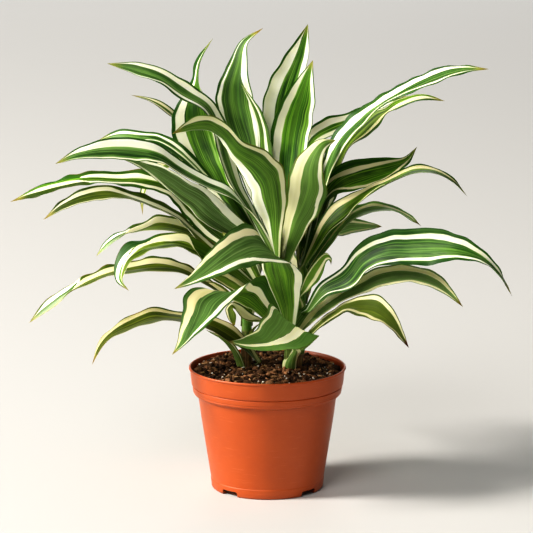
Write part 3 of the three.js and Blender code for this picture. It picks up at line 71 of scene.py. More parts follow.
# Blades: [middle x, y, z, half width x, y, z, channel depth] at 11 stations, millimetres.
LEAVES = {
    "leaf_01": [
        [6.5, -6.3, 178.5, 2.26, -4.01, 2.75, 1.07], [-2.5, -11.9, 198.4, 2.73, -5.7, 2.48, 1.36], [-12.9, -15.3, 216.9, 1.61, -7.76, 1.15, 1.6],
        [-27.3, -18.5, 231.9, -0.43, -9.45, -1.99, 1.93], [-45.7, -21.4, 241.2, -0.08, -10.51, -2.88, 2.18], [-63.3, -24.2, 251.7, 0.4, -10.75, -3.56, 2.27],
        [-80.2, -26.9, 263.2, 0.22, -9.32, -5.32, 2.15], [-99.9, -29.7, 267.1, 0.52, -6.78, -7.65, 2.05], [-120, -32.4, 267.8, 1.15, -4.69, -6.75, 1.66],
        [-139.7, -35.2, 265, 1.08, -2.73, -3.88, 0.97], [-157.9, -38, 257.4, 0, 0, 0, 0],
    ],
    "leaf_02": [
        [-7.2, 15, 173, 2.31, -4.15, 1.62, 1], [-14.5, 17.2, 188.4, 2.61, -5.58, 1.37, 1.26], [-22.3, 19, 203.5, 2.47, -7.48, 0.92, 1.59],
        [-31.3, 21.1, 218, 1.82, -9.34, 0.1, 1.9], [-41.1, 24, 231.6, 0.63, -10.53, -1.34, 2.13], [-52.6, 27.7, 243.9, 0.03, -10.75, -2.76, 2.22],
        [-65.4, 31.9, 254.7, -0.31, -10.05, -4.12, 2.17], [-80.4, 38, 262.1, 0.28, -8.87, -4.02, 1.95], [-97.2, 45.9, 264.3, 0.38, -6.63, -3.34, 1.49],
        [-114.7, 53.9, 263.9, 0.77, -3.17, -4.12, 1.05], [-131.8, 62, 258.2, 0, 0, 0, 0],
    ],
    "leaf_03": [
        [0.8, -1, 177, 4.93, -1.44, 1.84, 1.09], [-8.6, -2.5, 187.9, 5.79, -1.87, 3.45, 1.4], [-18.8, -4.2, 198, 6.48, -3.73, 5.38, 1.84],
        [-30.3, -5.9, 206.4, 6.97, -5.49, 7.26, 2.29], [-41.4, -6.9, 215.2, 7.64, -6.75, 9.33, 2.76], [-51.6, -6.9, 224.8, 6.75, -8.55, 9.25, 2.86],
        [-63.2, -5.8, 232.5, 5.25, -9.79, 8.02, 2.74], [-74.6, -4.2, 240.4, 4.17, -9.46, 7.27, 2.53], [-86.5, -2.1, 247.4, 2.86, -7.84, 5.76, 2.03],
        [-99.2, 0, 252.9, 1.41, -4.66, 3.43, 1.19], [-112.9, 2, 255.8, 0, 0, 0, 0],
    ],
    "leaf_04": [
        [-10.2, -3.6, 173.7, -3.03, -2.9, -1.73, 0.91], [-25.9, -0.2, 187.7, -4.07, -0.72, -4.51, 1.22], [-42.4, 2.4, 201, -5.16, -0.98, -7.07, 1.76],
        [-57.3, 5.7, 215.9, -4.53, -3.95, -7.08, 1.86], [-71.9, 8.7, 231, -2.76, -7.25, -6.09, 1.97], [-92, 10.1, 237.5, -1.92, -9.17, -5.8, 2.2],
        [-113.3, 11, 238.1, -0.92, -9.75, -3.41, 2.07], [-134.7, 11.8, 238.5, -0.15, -8.99, -3.59, 1.94], [-155.4, 12.6, 233.8, 0.35, -6.97, -3.28, 1.54],
        [-175.9, 13.3, 227, 0.63, -3.83, -2.8, 0.96], [-196, 14, 219.1, 0, 0, 0, 0],
    ],
    "leaf_05": [
        [-11.3, -5.6, 158.6, -1.88, -3.5, -1.59, 0.86], [-25.4, -4.7, 171.4, -2.14, -4.43, -2.59, 1.11], [-39.3, -3.4, 184.2, -1.6, -6.33, -2.53, 1.4],
        [-53, -1.3, 197.1, -0.64, -8.49, -2.02, 1.75], [-66.4, -1.3, 210.6, 0.76, -10, -1.23, 2.02], [-82.6, -2.6, 220.3, 0.75, -10.58, -1.96, 2.16],
        [-100.2, -4.6, 227.1, 1.49, -10.04, -1.88, 2.07], [-118.6, -6.9, 230.8, 1.81, -8.39, -3.59, 1.86], [-137, -9.2, 228.5, 2.15, -6.11, -4.17, 1.54],
        [-154.2, -11.6, 221.5, 1.67, -3.39, -2.44, 0.9], [-169.1, -14, 210.4, 0, 0, 0, 0],
    ],
    "leaf_06": [
        [-4.5, 19.9, 181.4, 1.92, -2.45, 1.27, 0.67], [-11.3, 25.5, 194.7, 2.65, -3.09, 0.87, 0.83], [-18, 31.3, 208, 3.39, -4.13, 0.54, 1.07],
        [-27, 37.9, 219.7, 3.55, -5.3, -0.23, 1.28], [-37.7, 43.8, 230.4, 3.4, -6.05, -1.35, 1.41], [-49.9, 48.2, 239.3, 3.18, -5.84, -3.03, 1.46],
        [-64.6, 50.7, 244.7, 3.52, -4.83, -4.48, 1.49], [-79.9, 52.8, 242.9, 4.17, -4.21, -3.62, 1.39], [-91.9, 55.1, 232.4, 3.06, -3.98, -1.25, 1.04],
        [-97, 57.5, 216.8, 1.99, -2.6, -0.23, 0.66], [-97, 60, 200.3, 0, 0, 0, 0],
    ],
    "leaf_07": [
        [-17.8, 2.4, 144.1, -1.5, -3.41, -1.99, 0.85], [-34.6, 3.8, 151.7, -0.55, -5.17, -1.15, 1.07], [-50.1, 5.3, 161.5, -0.4, -6.83, -1.76, 1.41],
        [-66.3, 6.2, 169.9, -0.16, -8.13, -2.77, 1.72], [-84.2, 5.4, 172.8, -0.17, -9.18, -4.15, 2.01], [-102.3, 2, 171.1, 0.42, -10.05, -2.74, 2.08],
        [-120.3, -3.3, 169.2, 1.04, -10.12, -2.13, 2.08], [-137.1, -9, 163.4, 1.44, -9.18, -1.51, 1.88], [-152.7, -14.6, 155.4, 1.72, -7.02, -1.51, 1.48],
        [-167, -20.3, 145.2, 2.33, -3.63, -2.25, 0.97], [-179.9, -26, 133.6, 0, 0, 0, 0],
    ],
    "leaf_08": [
        [-10.5, -13, 158.6, -1.12, -4.29, -1.41, 0.93], [-21.8, -14.8, 168, -0.37, -5.04, -2.66, 1.14], [-33.4, -16.6, 177, 0.04, -5.98, -4.46, 1.49],
        [-45.3, -18.7, 185.4, 0.54, -7.24, -6.09, 1.9], [-57.6, -21.4, 193.2, 2.46, -8.79, -5.28, 2.11], [-71.2, -25.3, 197.4, 4.48, -9.9, -3.96, 2.31],
        [-84.6, -30.3, 196, 5.25, -9.64, -1.93, 2.23], [-98, -35.1, 193, 6.56, -8.15, -2.49, 2.15], [-108.1, -39.1, 184, 6, -6.47, -0.18, 1.76],
        [-111.1, -42.6, 170.9, 2.96, -4.02, 1.26, 1.03], [-103.4, -46, 162.6, 0, 0, 0, 0],
    ],
    "leaf_09": [
        [-8.7, 9.7, 171, -1.52, -3.68, -1.58, 0.86], [-19.9, 10.9, 179.1, -1.24, -4.91, -2.08, 1.09], [-31.8, 12.2, 186, -0.74, -6.61, -2.25, 1.4],
        [-44.2, 12.8, 192.1, -0.32, -8.24, -2.64, 1.73], [-57, 13.5, 197.4, 0.02, -9.27, -3.43, 1.98], [-70.2, 16.2, 201.4, 0.45, -9.62, -4.23, 2.1],
        [-83.9, 19.5, 202.1, 1.07, -9.57, -4.09, 2.09], [-97.4, 23.1, 197.6, 0.93, -9.08, -1.29, 1.84], [-110.9, 26.7, 192.8, 1.54, -7.36, -1.36, 1.53],
        [-122.6, 30.3, 184.1, 1.6, -4.15, -1.21, 0.92], [-132.1, 34, 172.7, 0, 0, 0, 0],
    ],
    "leaf_10": [
        [-25.5, 2, 153.9, 1.55, -1.62, 2.68, 0.7], [-29.8, 4.5, 158, 2.02, -2.37, 3.2, 0.89], [-34.1, 7, 162.2, 2.5, -3.55, 3.81, 1.16],
        [-38.4, 9.6, 166.3, 2.9, -4.89, 4.37, 1.44], [-42.6, 12.2, 170.6, 2.89, -5.98, 4.48, 1.6], [-46.6, 14.7, 175.1, 3.09, -6.45, 4.6, 1.7],
        [-49.2, 16.9, 180.6, 3.27, -6.25, 4.58, 1.68], [-52.2, 19, 185.8, 2.78, -5.7, 4.12, 1.51], [-56, 20.9, 190.6, 1.95, -4.77, 3.14, 1.21],
        [-60.5, 21.7, 194.8, 0.84, -2.9, 1.56, 0.68], [-65.4, 22, 198.9, 0, 0, 0, 0],
    ],
    "leaf_11": [
        [-5.6, -6.8, 98.8, -1.52, -4.7, 0.33, 0.99], [-15.7, -11.6, 112.1, -1.98, -5.03, -1.66, 1.13], [-27.9, -11.6, 122.2, -2.98, -6.06, -4.36, 1.61],
        [-41.5, -11.5, 130, -1.77, -8.38, -3.25, 1.83], [-56.6, -13.6, 134.3, -0.48, -10.57, -1.84, 2.15], [-72, -17.6, 137.6, 0.54, -11.25, -1.77, 2.28],
        [-87.4, -22.8, 139.2, 1.46, -10.62, -3.48, 2.25], [-101.7, -29.3, 134.9, 2.05, -9.51, -2.86, 2.03], [-115.3, -36.7, 129.7, 2.06, -7.82, -1.24, 1.64],
        [-125.7, -44.3, 120, 1.66, -4.63, -0.38, 0.99], [-131.3, -52, 107.2, 0, 0, 0, 0],
    ],
    "leaf_12": [
        [-20.1, -12, 96.9, 3.04, 0, 0, 0.61], [-21.4, -9.6, 100.3, 3, -0.64, 0.43, 0.62], [-22.8, -7.2, 103.6, 2.97, -2.32, 1.11, 0.79],
        [-24.5, -4.8, 106.8, 2.6, -3.94, 1.6, 1], [-26.8, -2.4, 109.7, 2.54, -4.88, 2.11, 1.18], [-29.5, -0.1, 112.3, 2.16, -5.36, 2.24, 1.24],
        [-32.5, 2, 114.5, 1.78, -5.37, 2.19, 1.21], [-35.8, 4, 116.5, 1.39, -4.92, 2.01, 1.1], [-39.5, 6, 117.8, 0.86, -4.01, 1.37, 0.87],
        [-43.3, 8, 119, 0.42, -2.36, 0.74, 0.5], [-47.1, 10, 120.1, 0, 0, 0, 0],
    ],
    "leaf_13": [
        [-4.1, -6, 131.1, -0.76, -1.96, -0.73, 0.45], [-8.2, -8.5, 132.7, -0.95, -1.9, -1.8, 0.56], [-12.3, -11, 134.5, -1.12, -2.23, -2.7, 0.73],
        [-15.8, -13.4, 137.2, -1.25, -2.9, -3.18, 0.9], [-19.1, -15.6, 140.4, -1.18, -3.77, -3.26, 1.02], [-22.4, -17.3, 143.4, -0.36, -4.62, -2.61, 1.06],
        [-26.1, -18.7, 145.6, 1.16, -4.87, -1.32, 1.04], [-28.7, -20, 143.1, 2.9, -4.09, 0.35, 1], [-27.6, -21.3, 139.3, 3.51, -2.33, 0.75, 0.86],
        [-26.5, -22.7, 135.4, 2.67, -0.62, 0.49, 0.56], [-25.2, -24, 131.6, 0.76, 0, 0, 0.15],
    ],
    "leaf_14": [
        [-23.1, -2.3, 144.7, 0.77, -0.56, 1.68, 0.39], [-25.2, -3.8, 147, 0.81, -1.35, 1.95, 0.5], [-27.2, -5.4, 149.2, 0.85, -2.23, 2.23, 0.65],
        [-29.2, -6.9, 151.5, 0.9, -3.01, 2.5, 0.8], [-31.3, -8.5, 153.7, 0.98, -3.55, 2.76, 0.92], [-33.5, -9.9, 155.7, 0.93, -3.82, 2.81, 0.97],
        [-35.7, -11.2, 157.6, 0.88, -3.73, 2.79, 0.95], [-38.1, -12.4, 159.3, 0.74, -3.33, 2.56, 0.85], [-40.4, -13.6, 161, 0.59, -2.65, 2.24, 0.7],
        [-43, -14.8, 162.2, 0.31, -1.55, 1.25, 0.4], [-45.7, -16, 163.1, 0, 0, 0, 0],
    ],
    "leaf_15": [
        [-12.9, -4, 149, 1.91, -1.62, 2.68, 0.73], [-16, -6.4, 152, 2.38, -1.43, 3.68, 0.92], [-19.2, -8, 154.8, 2.83, -2.45, 4.9, 1.23],
        [-22.4, -7.7, 157.2, 2.76, -4.2, 5.57, 1.5], [-25.6, -7.3, 159.6, 2.66, -5.61, 6.11, 1.74], [-29.1, -6.9, 161.6, 2.41, -6.3, 6.25, 1.84],
        [-32.6, -6.5, 163.6, 2.11, -6.3, 6.19, 1.82], [-36.3, -6.2, 164.9, 1.64, -5.82, 5.44, 1.63], [-40.1, -6.1, 166.1, 1.1, -4.84, 4.36, 1.32],
        [-44.1, -6, 166.7, 0.56, -2.92, 2.29, 0.75], [-48.1, -6, 167.2, 0, 0, 0, 0],
    ],
    "leaf_16": [
        [4.3, 2.5, 174.8, -2.29, -4.22, 0.86, 0.97], [-3.2, 0.5, 195.6, -2.51, -5.56, 0.38, 1.22], [-12.1, 0.5, 215.4, -2.34, -7.27, 0.07, 1.53],
        [-22.6, 2.4, 233.9, -3.26, -8.6, -0.96, 1.85], [-29.8, 5.8, 253.6, -5.08, -9.31, -2.21, 2.17], [-35.3, 9.6, 273.9, -4.75, -9.87, -2.72, 2.26],
        [-44.1, 13.1, 292.8, -2.91, -9.62, -2.98, 2.1], [-62.2, 16.3, 303.8, -3.21, -8.1, -4.73, 1.98], [-80.1, 19.5, 315, -2.12, -5.74, -4.57, 1.53],
        [-100.5, 22.8, 320.7, -1.22, -2.78, -4.12, 1.02], [-121.7, 26, 323.7, 0, 0, 0, 0],
    ],
    "leaf_17": [
        [8, -15, 181.4, 1.49, -6.01, 1.22, 1.26], [6.4, -22.5, 198.4, 4.19, -5.7, 3.11, 1.55], [5.2, -27.4, 214.7, 7.9, -3.88, 4.82, 2.01],
        [2.4, -31.5, 230.6, 12.07, -1.19, 6.91, 2.79], [-1.2, -35.3, 246.1, 12.32, -2.12, 8.73, 3.05], [-9.8, -38.6, 258.7, 9.65, -7.32, 9.52, 3.08],
        [-21.7, -41.3, 268.3, 5.81, -11.29, 7.91, 2.99], [-30.7, -44.4, 280.8, 2.65, -11.37, 7.48, 2.77], [-42.7, -48.7, 290, 0.82, -8.9, 7.58, 2.34],
        [-57.1, -54.1, 289.3, -0.05, -4.92, 5.02, 1.41], [-70.1, -60, 283.5, 0, 0, 0, 0],
    ],
    "leaf_18": [
        [-4.9, 14.1, 186.4, -2.3, 6, -2.74, 1.4], [-15.1, 20.2, 199.4, -5.05, 6.3, -3.38, 1.75], [-25.3, 26, 212.5, -7.84, 7.01, -4.11, 2.26],
        [-35.7, 31.5, 225.5, -10.69, 7.17, -4.8, 2.75], [-44, 36.4, 240.1, -13.75, 4.98, -4.76, 3.08], [-51, 41.8, 255.2, -16.57, 1.52, -4.19, 3.43],
        [-56.2, 45.9, 271.3, -17.53, 1.54, -3.43, 3.59], [-58, 47.5, 288.3, -13.1, 5.89, -2.67, 2.92], [-56.3, 49, 305.5, -3.84, 8.91, -2.5, 2],
        [-53.2, 50.5, 322.4, -2.08, 6.31, -1.19, 1.35], [-41.8, 52, 339.6, 0, 0, 0, 0],
    ],
    "leaf_19": [
        [8.8, 8.2, 179.1, -2.26, 5.49, -1.88, 1.25], [3.9, 12.9, 196.4, -4.48, 6.03, -1.58, 1.54], [-1.8, 16.3, 213.8, -7.05, 6.87, -1.54, 1.99],
        [-8.2, 19.8, 230.9, -9.53, 7.65, -1.56, 2.46], [-13.6, 23.3, 248.4, -11.4, 7.84, -1.13, 2.78], [-18.5, 26.9, 266, -13.06, 5.7, -0.21, 2.85],
        [-23.2, 30.4, 283.7, -14.68, 1.83, 0.96, 2.97], [-25.3, 33.8, 301.7, -13.38, 1.83, 1.7, 2.72], [-22.4, 37.2, 319.7, -7.69, 5.09, 1.36, 1.86],
        [-17.8, 40.6, 337.4, -2.72, 4.71, 1.14, 1.11], [-3.4, 44, 348.4, 0, 0, 0, 0],
    ],
    "leaf_20": [
        [8.8, -3.3, 183.7, 1.5, -3.48, 0.7, 0.77], [6.9, -1.5, 196.7, 2.57, -4.07, 1.12, 0.99], [4.9, 0.3, 209.6, 3.63, -5.04, 1.61, 1.28],
        [3, 2.6, 222.5, 4.55, -6.16, 2.09, 1.59], [1.4, 4.9, 235.4, 5.02, -7.1, 2.45, 1.81], [-0.2, 7.3, 248.3, 5.12, -7.64, 2.68, 1.92],
        [-1.5, 9.7, 261.2, 4.73, -7.56, 2.75, 1.87], [-3.3, 12.2, 274, 4.19, -6.88, 2.68, 1.7], [-7.2, 14.8, 286.4, 3.15, -5.62, 2.3, 1.37],
        [-13, 17.4, 298, 1.67, -3.34, 1.37, 0.8], [-20, 20, 308.9, 0, 0, 0, 0],
    ],
    "leaf_21": [
        [11.9, 3.5, 185.4, -2.31, -5.11, 1.02, 1.14], [11.4, 7.2, 202.4, -4.34, -5.6, 1.52, 1.45], [11, 11, 219.4, -6.4, -6.51, 2.09, 1.87],
        [10.5, 14.7, 236.4, -8.59, -7.18, 2.59, 2.3], [9.8, 17.3, 253.6, -10.77, -6.7, 2.87, 2.6], [8.9, 19.9, 270.8, -12.82, -4.31, 2.81, 2.76],
        [9.5, 22.6, 287.9, -13.51, -1.26, 2.81, 2.77], [13, 25.4, 304.7, -12.66, 0, 2.91, 2.6], [19.1, 28.2, 320.7, -10.18, 0, 2.44, 2.09],
        [25.5, 31.1, 336.5, -6.15, 0, 1.38, 1.26], [30.8, 34, 352.8, 0, 0, 0, 0],
    ],
    "leaf_22": [
        [11.8, -8, 186.2, -2.24, 5.76, -1.15, 1.26], [11.8, -6.9, 200.9, -5.05, 5.86, -0.73, 1.55], [11.9, -4.9, 215.5, -7.81, 6.42, -0.38, 2.02],
        [12.6, -3.1, 230, -10.21, 6.93, 0.09, 2.47], [13.7, -1, 244.5, -12.39, 6.87, 0.67, 2.84], [15.2, 1.3, 258.9, -13.66, 5.46, 1.48, 2.96],
        [17.3, 3.5, 273.2, -14.36, 2.61, 2.45, 2.96], [20.6, 5.3, 287.3, -13.42, 0.5, 2.96, 2.75], [25.2, 6.9, 301.1, -11.04, 0.93, 2.49, 2.27],
        [29.3, 8.5, 315, -5.4, 1.86, 1.24, 1.17], [34.3, 10, 328.6, 0, 0, 0, 0],
    ],
    "leaf_23": [
        [13.7, -11, 177.5, 3.37, -5.16, 1.05, 1.25], [15.6, -14.2, 188.7, 6, -5.09, -0.11, 1.57], [18.6, -17.5, 199.5, 7.58, -6.2, -1.01, 1.97],
        [21.9, -20.5, 210.2, 9.26, -7.11, -2.07, 2.37], [25.7, -22.8, 220.4, 11.54, -6.12, -3.85, 2.72], [28.9, -23.8, 230.7, 13.44, -3.39, -5.61, 2.99],
        [30.6, -23.7, 241, 14.43, -1.83, -6.82, 3.21], [31.8, -22.2, 251.2, 10.42, -3.67, -6.68, 2.58], [35.7, -19, 260.3, 5.89, -5.65, -5.24, 1.94],
        [41.8, -14.7, 268.1, 2.09, -4.16, -3.55, 1.17], [51.5, -10, 270.8, 0, 0, 0, 0],
    ],
    "leaf_24": [
        [29, 3.1, 180.1, -1.85, 4.56, -0.14, 0.98], [34.5, 1.2, 202.5, -2.8, 5.54, 0.64, 1.25], [39.3, -1.4, 225, -2.98, 7.13, 1.11, 1.56],
        [44.3, -4.2, 247.4, -3.74, 8.67, 1.76, 1.92], [52.7, -6.5, 268.3, -4.62, 9.79, 2.67, 2.23], [66.7, -8.2, 285.7, -3.74, 10.72, 2.73, 2.33],
        [83.5, -9.6, 299.5, -1.88, 10.86, 1.82, 2.23], [102.9, -10.7, 309.9, -1.56, 9.55, 2.79, 2.01], [123, -11.8, 318.6, -1.4, 7.07, 4.09, 1.66],
        [143.9, -12.9, 324.8, -0.35, 3.86, 2.96, 0.98], [165.4, -14, 325.1, 0, 0, 0, 0],
    ],
    "leaf_25": [
        [31.7, 9.1, 182.8, -2.23, 4.22, -0.84, 0.97], [36.9, 13, 198.8, -2.85, 5.35, -0.33, 1.21], [42, 16.9, 215, -3.28, 7.09, 0.03, 1.56],
        [47.3, 20.8, 231.1, -2.85, 9.06, 0.1, 1.9], [53.1, 23.8, 247.1, -1.94, 10.61, 0.08, 2.16], [61.1, 24, 262.4, -1.43, 10.95, 0.8, 2.21],
        [73.7, 24.1, 274.2, -3.19, 9.98, 3.62, 2.22], [86.7, 24.4, 285.7, -2.34, 8.85, 3.7, 1.97], [101.6, 24.8, 293.8, -0.32, 7.36, 2.03, 1.53],
        [118.3, 25.3, 298, 0.19, 4.31, 1.93, 0.95], [135, 26, 294.9, 0, 0, 0, 0],
    ],
    "leaf_26": [
        [18, 6.8, 191, -2.25, 4.44, -0.87, 1.01], [19.3, 12.7, 206.5, -2.71, 5.71, -0.36, 1.27], [20.8, 18.9, 222, -3.13, 7.46, 0.09, 1.62],
        [23, 25.5, 237.4, -3.32, 9.25, 0.54, 1.97], [26.6, 32.9, 252.4, -3.59, 10.42, 1.18, 2.22], [34.9, 40.8, 265.2, -4.25, 10.38, 2.62, 2.3],
        [49.4, 49.6, 272, -4.77, 9.58, 4.94, 2.36], [65.1, 58.3, 276.6, -3.31, 8.95, 2.99, 2], [80.1, 67, 282.9, -2.09, 7.57, 2.31, 1.64],
        [95.8, 75.5, 288, -0.96, 4.44, 1.69, 0.97], [112.6, 84, 290.1, 0, 0, 0, 0],
    ],
    "leaf_27": [
        [29.1, 11.6, 184.6, -1.85, 4.77, -0.17, 1.02], [32.7, 10.4, 197, -1.94, 6.2, 0.04, 1.3], [36.3, 8.9, 209.3, -2.04, 8.07, 0.19, 1.66],
        [40.9, 7.1, 221.3, -2.47, 9.55, 0.58, 1.98], [48.2, 5.6, 231.4, -4.45, 9.03, 3.6, 2.14], [58.4, 5.4, 238.4, -6.67, 6.48, 8.05, 2.46],
        [70.2, 10.8, 241.6, -6.61, 4.28, 9.3, 2.44], [82.3, 16.8, 243.8, -5.93, 4.04, 8.24, 2.19], [94.6, 22.6, 245.8, -4.77, 4.68, 5.33, 1.71],
        [106.3, 28.4, 249.5, -2.48, 3.66, 1.2, 0.92], [114.5, 34, 258.2, 0, 0, 0, 0],
    ],
    "leaf_28": [
        [27.8, -3.7, 174.1, -1.46, 4.53, -0.54, 0.96], [35.1, -8.1, 189.8, -3.18, 4.7, 1.24, 1.16], [42.9, -11.9, 204.9, -4.28, 5.38, 2.69, 1.48],
        [53.8, -13.8, 217.2, -5.18, 6.99, 4.02, 1.92], [66.4, -15.4, 227.6, -3.05, 9.5, 2.05, 2.04], [80.2, -16.6, 236.1, -1.03, 11.2, 0.04, 2.25],
        [94.4, -17.8, 244, -0.31, 11.08, 0.35, 2.22], [109.2, -19.2, 250.2, -0.04, 9.86, 1.68, 2], [125, -20.7, 249.8, 0.53, 7.9, 0.98, 1.6],
        [139, -22.3, 242.6, 0.75, 4.62, 0.52, 0.94], [149.5, -24, 230.6, 0, 0, 0, 0],
    ],
    "leaf_29": [
        [29.1, 11, 162.9, -1.87, 3.43, 0.07, 0.78], [35.3, 7.4, 173.7, -1.96, 4.4, 0.72, 0.97], [41.6, 6.1, 184, -2.04, 5.69, 1.32, 1.24],
        [48.2, 5.5, 193.9, -2.3, 6.97, 2.08, 1.53], [55.2, 4.9, 203.4, -2.21, 7.99, 2.63, 1.74], [63.6, 4.3, 211.7, -1.55, 8.59, 2.74, 1.83],
        [74.4, 3.7, 215.9, -0.79, 8.5, 2.67, 1.79], [85.9, 3.2, 217.6, -0.01, 7.85, 2.28, 1.63], [97.3, 2.8, 215.8, 0.35, 6.45, 0.71, 1.3],
        [107.5, 2.4, 210, 0.85, 3.75, 0.96, 0.79], [116.6, 2, 202.8, 0, 0, 0, 0],
    ],
    "leaf_30": [
        [30.6, 11.2, 162.9, -1.86, 3.89, -0.03, 0.86], [33.1, 13.1, 170.1, -1.8, 5.15, 0.21, 1.09], [35.6, 17, 176.8, -1.74, 6.8, 0.37, 1.4],
        [39.2, 21.2, 183.2, -1.49, 8.46, 0.48, 1.72], [43.3, 25.9, 189, -1.39, 9.64, 0.8, 1.95], [49.5, 33.8, 192.5, -1.2, 9.87, 1.65, 2.01],
        [57.2, 43.5, 193, -1.37, 8.92, 3.93, 1.97], [65.1, 53.7, 193.1, -1.13, 7.58, 4.74, 1.8], [73.3, 63.9, 191.3, -0.62, 6.11, 3.34, 1.4],
        [81.6, 74, 189.1, -0.25, 3.59, 2.27, 0.85], [90, 84, 186.6, 0, 0, 0, 0],
    ],
    "leaf_31": [
        [25.2, 0, 148.5, 1.11, -2.53, 0.93, 0.58], [27.5, -1.6, 152.7, 2.17, -2.53, -0.39, 0.67], [29.8, -3.2, 157, 3.1, -2.74, -1.58, 0.89],
        [32.1, -4.8, 161.3, 3.59, -3.18, -2.4, 1.07], [34.5, -6.4, 165.4, 3.83, -3.69, -3.07, 1.23], [36.8, -7.8, 169.7, 3.52, -4.15, -3.37, 1.28],
        [39.3, -9.2, 173.7, 2.81, -4.3, -3.44, 1.24], [41.9, -10.4, 177.7, 1.7, -4.11, -3.32, 1.11], [44.9, -11.6, 181.2, 0.1, -3.66, -2.64, 0.9],
        [47.7, -12.8, 180.1, -0.72, -2.42, -0.08, 0.5], [48.1, -14, 175.8, 0, 0, 0, 0],
    ],
    "leaf_32": [
        [30.8, -9.6, 140.4, -2.21, 5.64, -0.07, 1.21], [42.3, -14.1, 156.5, -3.46, 5.04, 3.81, 1.44], [59.1, -18.9, 166.3, -3.56, 5.41, 7.04, 1.91],
        [70.8, -24.3, 182.5, -3.58, 6.49, 8.73, 2.29], [86.9, -30.5, 192, -2.56, 6.91, 10.83, 2.62], [105.4, -37.3, 194.3, -1.25, 6.43, 12.72, 2.86],
        [123.9, -44.5, 196.4, 0.18, 6.82, 12.37, 2.83], [142.2, -51.7, 196.6, 1.56, 8.65, 7.87, 2.36], [159.3, -59.1, 191.8, 1.58, 9.01, 2.8, 1.91],
        [172.2, -66.6, 180, 0.96, 5.77, 0.72, 1.18], [180.5, -74, 164.8, 0, 0, 0, 0],
    ],
    "leaf_33": [
        [21.8, -1.6, 123.5, -4.58, 0, 2.35, 1.03], [31.5, -4, 135.5, -5.42, 1.38, 4.24, 1.4], [43.7, -6.6, 144.5, -3.99, 4.92, 3.56, 1.45],
        [56.6, -9.3, 152.5, -2.58, 8.1, 3.1, 1.81], [69.9, -12.5, 159.6, -1.85, 9.45, 4.36, 2.11], [83.2, -16.6, 166.6, -0.99, 9.77, 5.47, 2.25],
        [97.4, -21.2, 170.5, 0.26, 9.51, 5.45, 2.19], [111.9, -25.9, 171.1, 1.54, 8.53, 4.4, 1.94], [125.5, -30.6, 167.3, 2.29, 6.64, 4.33, 1.65],
        [136.9, -35.3, 159.2, 1.69, 3.81, 2.26, 0.95], [146.6, -40, 149, 0, 0, 0, 0],
    ],
    "leaf_34": [
        [29, -4.5, 115.5, -1.85, 4.81, 0.46, 1.04], [35.4, -10, 125.1, -0.84, 6.37, 0.87, 1.3], [43.1, -15.5, 133.3, -0.24, 8.26, 1.47, 1.68],
        [51.6, -21.2, 140.4, 0.65, 10.08, 1.92, 2.06], [60.3, -27.6, 147, 1.48, 11.01, 2.63, 2.28], [70.3, -35, 149.2, 2.66, 10.41, 5.52, 2.42],
        [80.2, -43, 149.7, 3.9, 9.28, 7.07, 2.46], [88.6, -51.2, 145.9, 3.66, 8.81, 4.63, 2.12], [95.1, -59.4, 140, 2.85, 7.77, 2.49, 1.73],
        [100, -67.7, 133, 1.71, 4.71, 1.18, 1.03], [104.7, -76, 125.8, 0, 0, 0, 0],
    ],
    "leaf_35": [
        [23.2, -19, 111.1, 4.49, -5.8, 1.35, 1.49], [23.9, -25.6, 120.8, 9.86, -1.45, -2.41, 2.05], [24, -32.2, 130.6, 14.4, 0, -6.17, 3.13],
        [20.7, -39, 138.7, 17.11, 0, -12.42, 4.23], [15.6, -46.3, 134, 16.4, -0.62, -12.64, 4.14], [9.6, -53.9, 130.4, 14.9, -3.75, -9.28, 3.59],
        [2.6, -61.2, 128.2, 12.51, -8.56, -5.29, 3.21], [-5.2, -67.9, 128.2, 9.09, -11.12, -3.6, 2.96], [-13, -74, 128.4, 5.35, -10.3, -2.44, 2.37],
        [-20.7, -80, 130.2, 2.32, -6.43, -1.22, 1.39], [-28.3, -86, 133.5, 0, 0, 0, 0],
    ],
    "leaf_36": [
        [15.3, -12.2, 126.2, 2.61, -6.58, 2.65, 1.51], [6.3, -17.6, 137, 6.62, -5.03, 5.14, 1.95], [-1.9, -22.9, 148.3, 8.9, -3.58, 6.72, 2.34],
        [-10.4, -29, 159.4, 10.57, -3.46, 11.15, 3.15], [-21.9, -37.6, 163.9, 12.39, -6.57, 8.18, 3.25], [-34.3, -47.6, 164.3, 15.4, -6.53, -0.28, 3.35],
        [-44.1, -57.9, 160, 16.9, -4.08, -2.51, 3.51], [-49.9, -68.1, 150.8, 13.26, -6.17, -0.59, 2.93], [-55.8, -78.2, 141.8, 8.81, -8.05, 0.75, 2.39],
        [-62, -88.2, 133, 5.08, -5.27, 2.58, 1.55], [-70, -98, 125.7, 0, 0, 0, 0],
    ],
    "leaf_37": [
        [17.4, -22.8, 130.6, 4.11, -5.79, 2.08, 1.48], [16.1, -28.8, 146.8, 7.66, -3.55, 1.2, 1.71], [13.3, -34.8, 162.8, 12.15, -1.05, -1.66, 2.46],
        [10.6, -40.6, 178.5, 15.49, -0.89, -4.6, 3.24], [6.3, -47.2, 193.8, 12.1, -2.82, -10.07, 3.2], [-6.6, -55.7, 201, 8.73, -4.81, -13.89, 3.42],
        [-20.3, -65.1, 198.8, 7.27, -7.2, -12.21, 3.19], [-32.5, -74.7, 193.4, 6.13, -9.33, -8.4, 2.79], [-44.1, -84.3, 187, 4.5, -9.3, -4.61, 2.26],
        [-55.6, -94.1, 180.7, 2.43, -6.03, -1.5, 1.34], [-68, -104, 176.4, 0, 0, 0, 0],
    ],
    "leaf_38": [
        [-2.6, 14.2, 191.9, 1.53, -4.05, 1.57, 0.92], [-10.1, 25.5, 203.4, 1.86, -5.24, 1.9, 1.18], [-17.7, 34.9, 215.3, 2.21, -6.84, 2.28, 1.51],
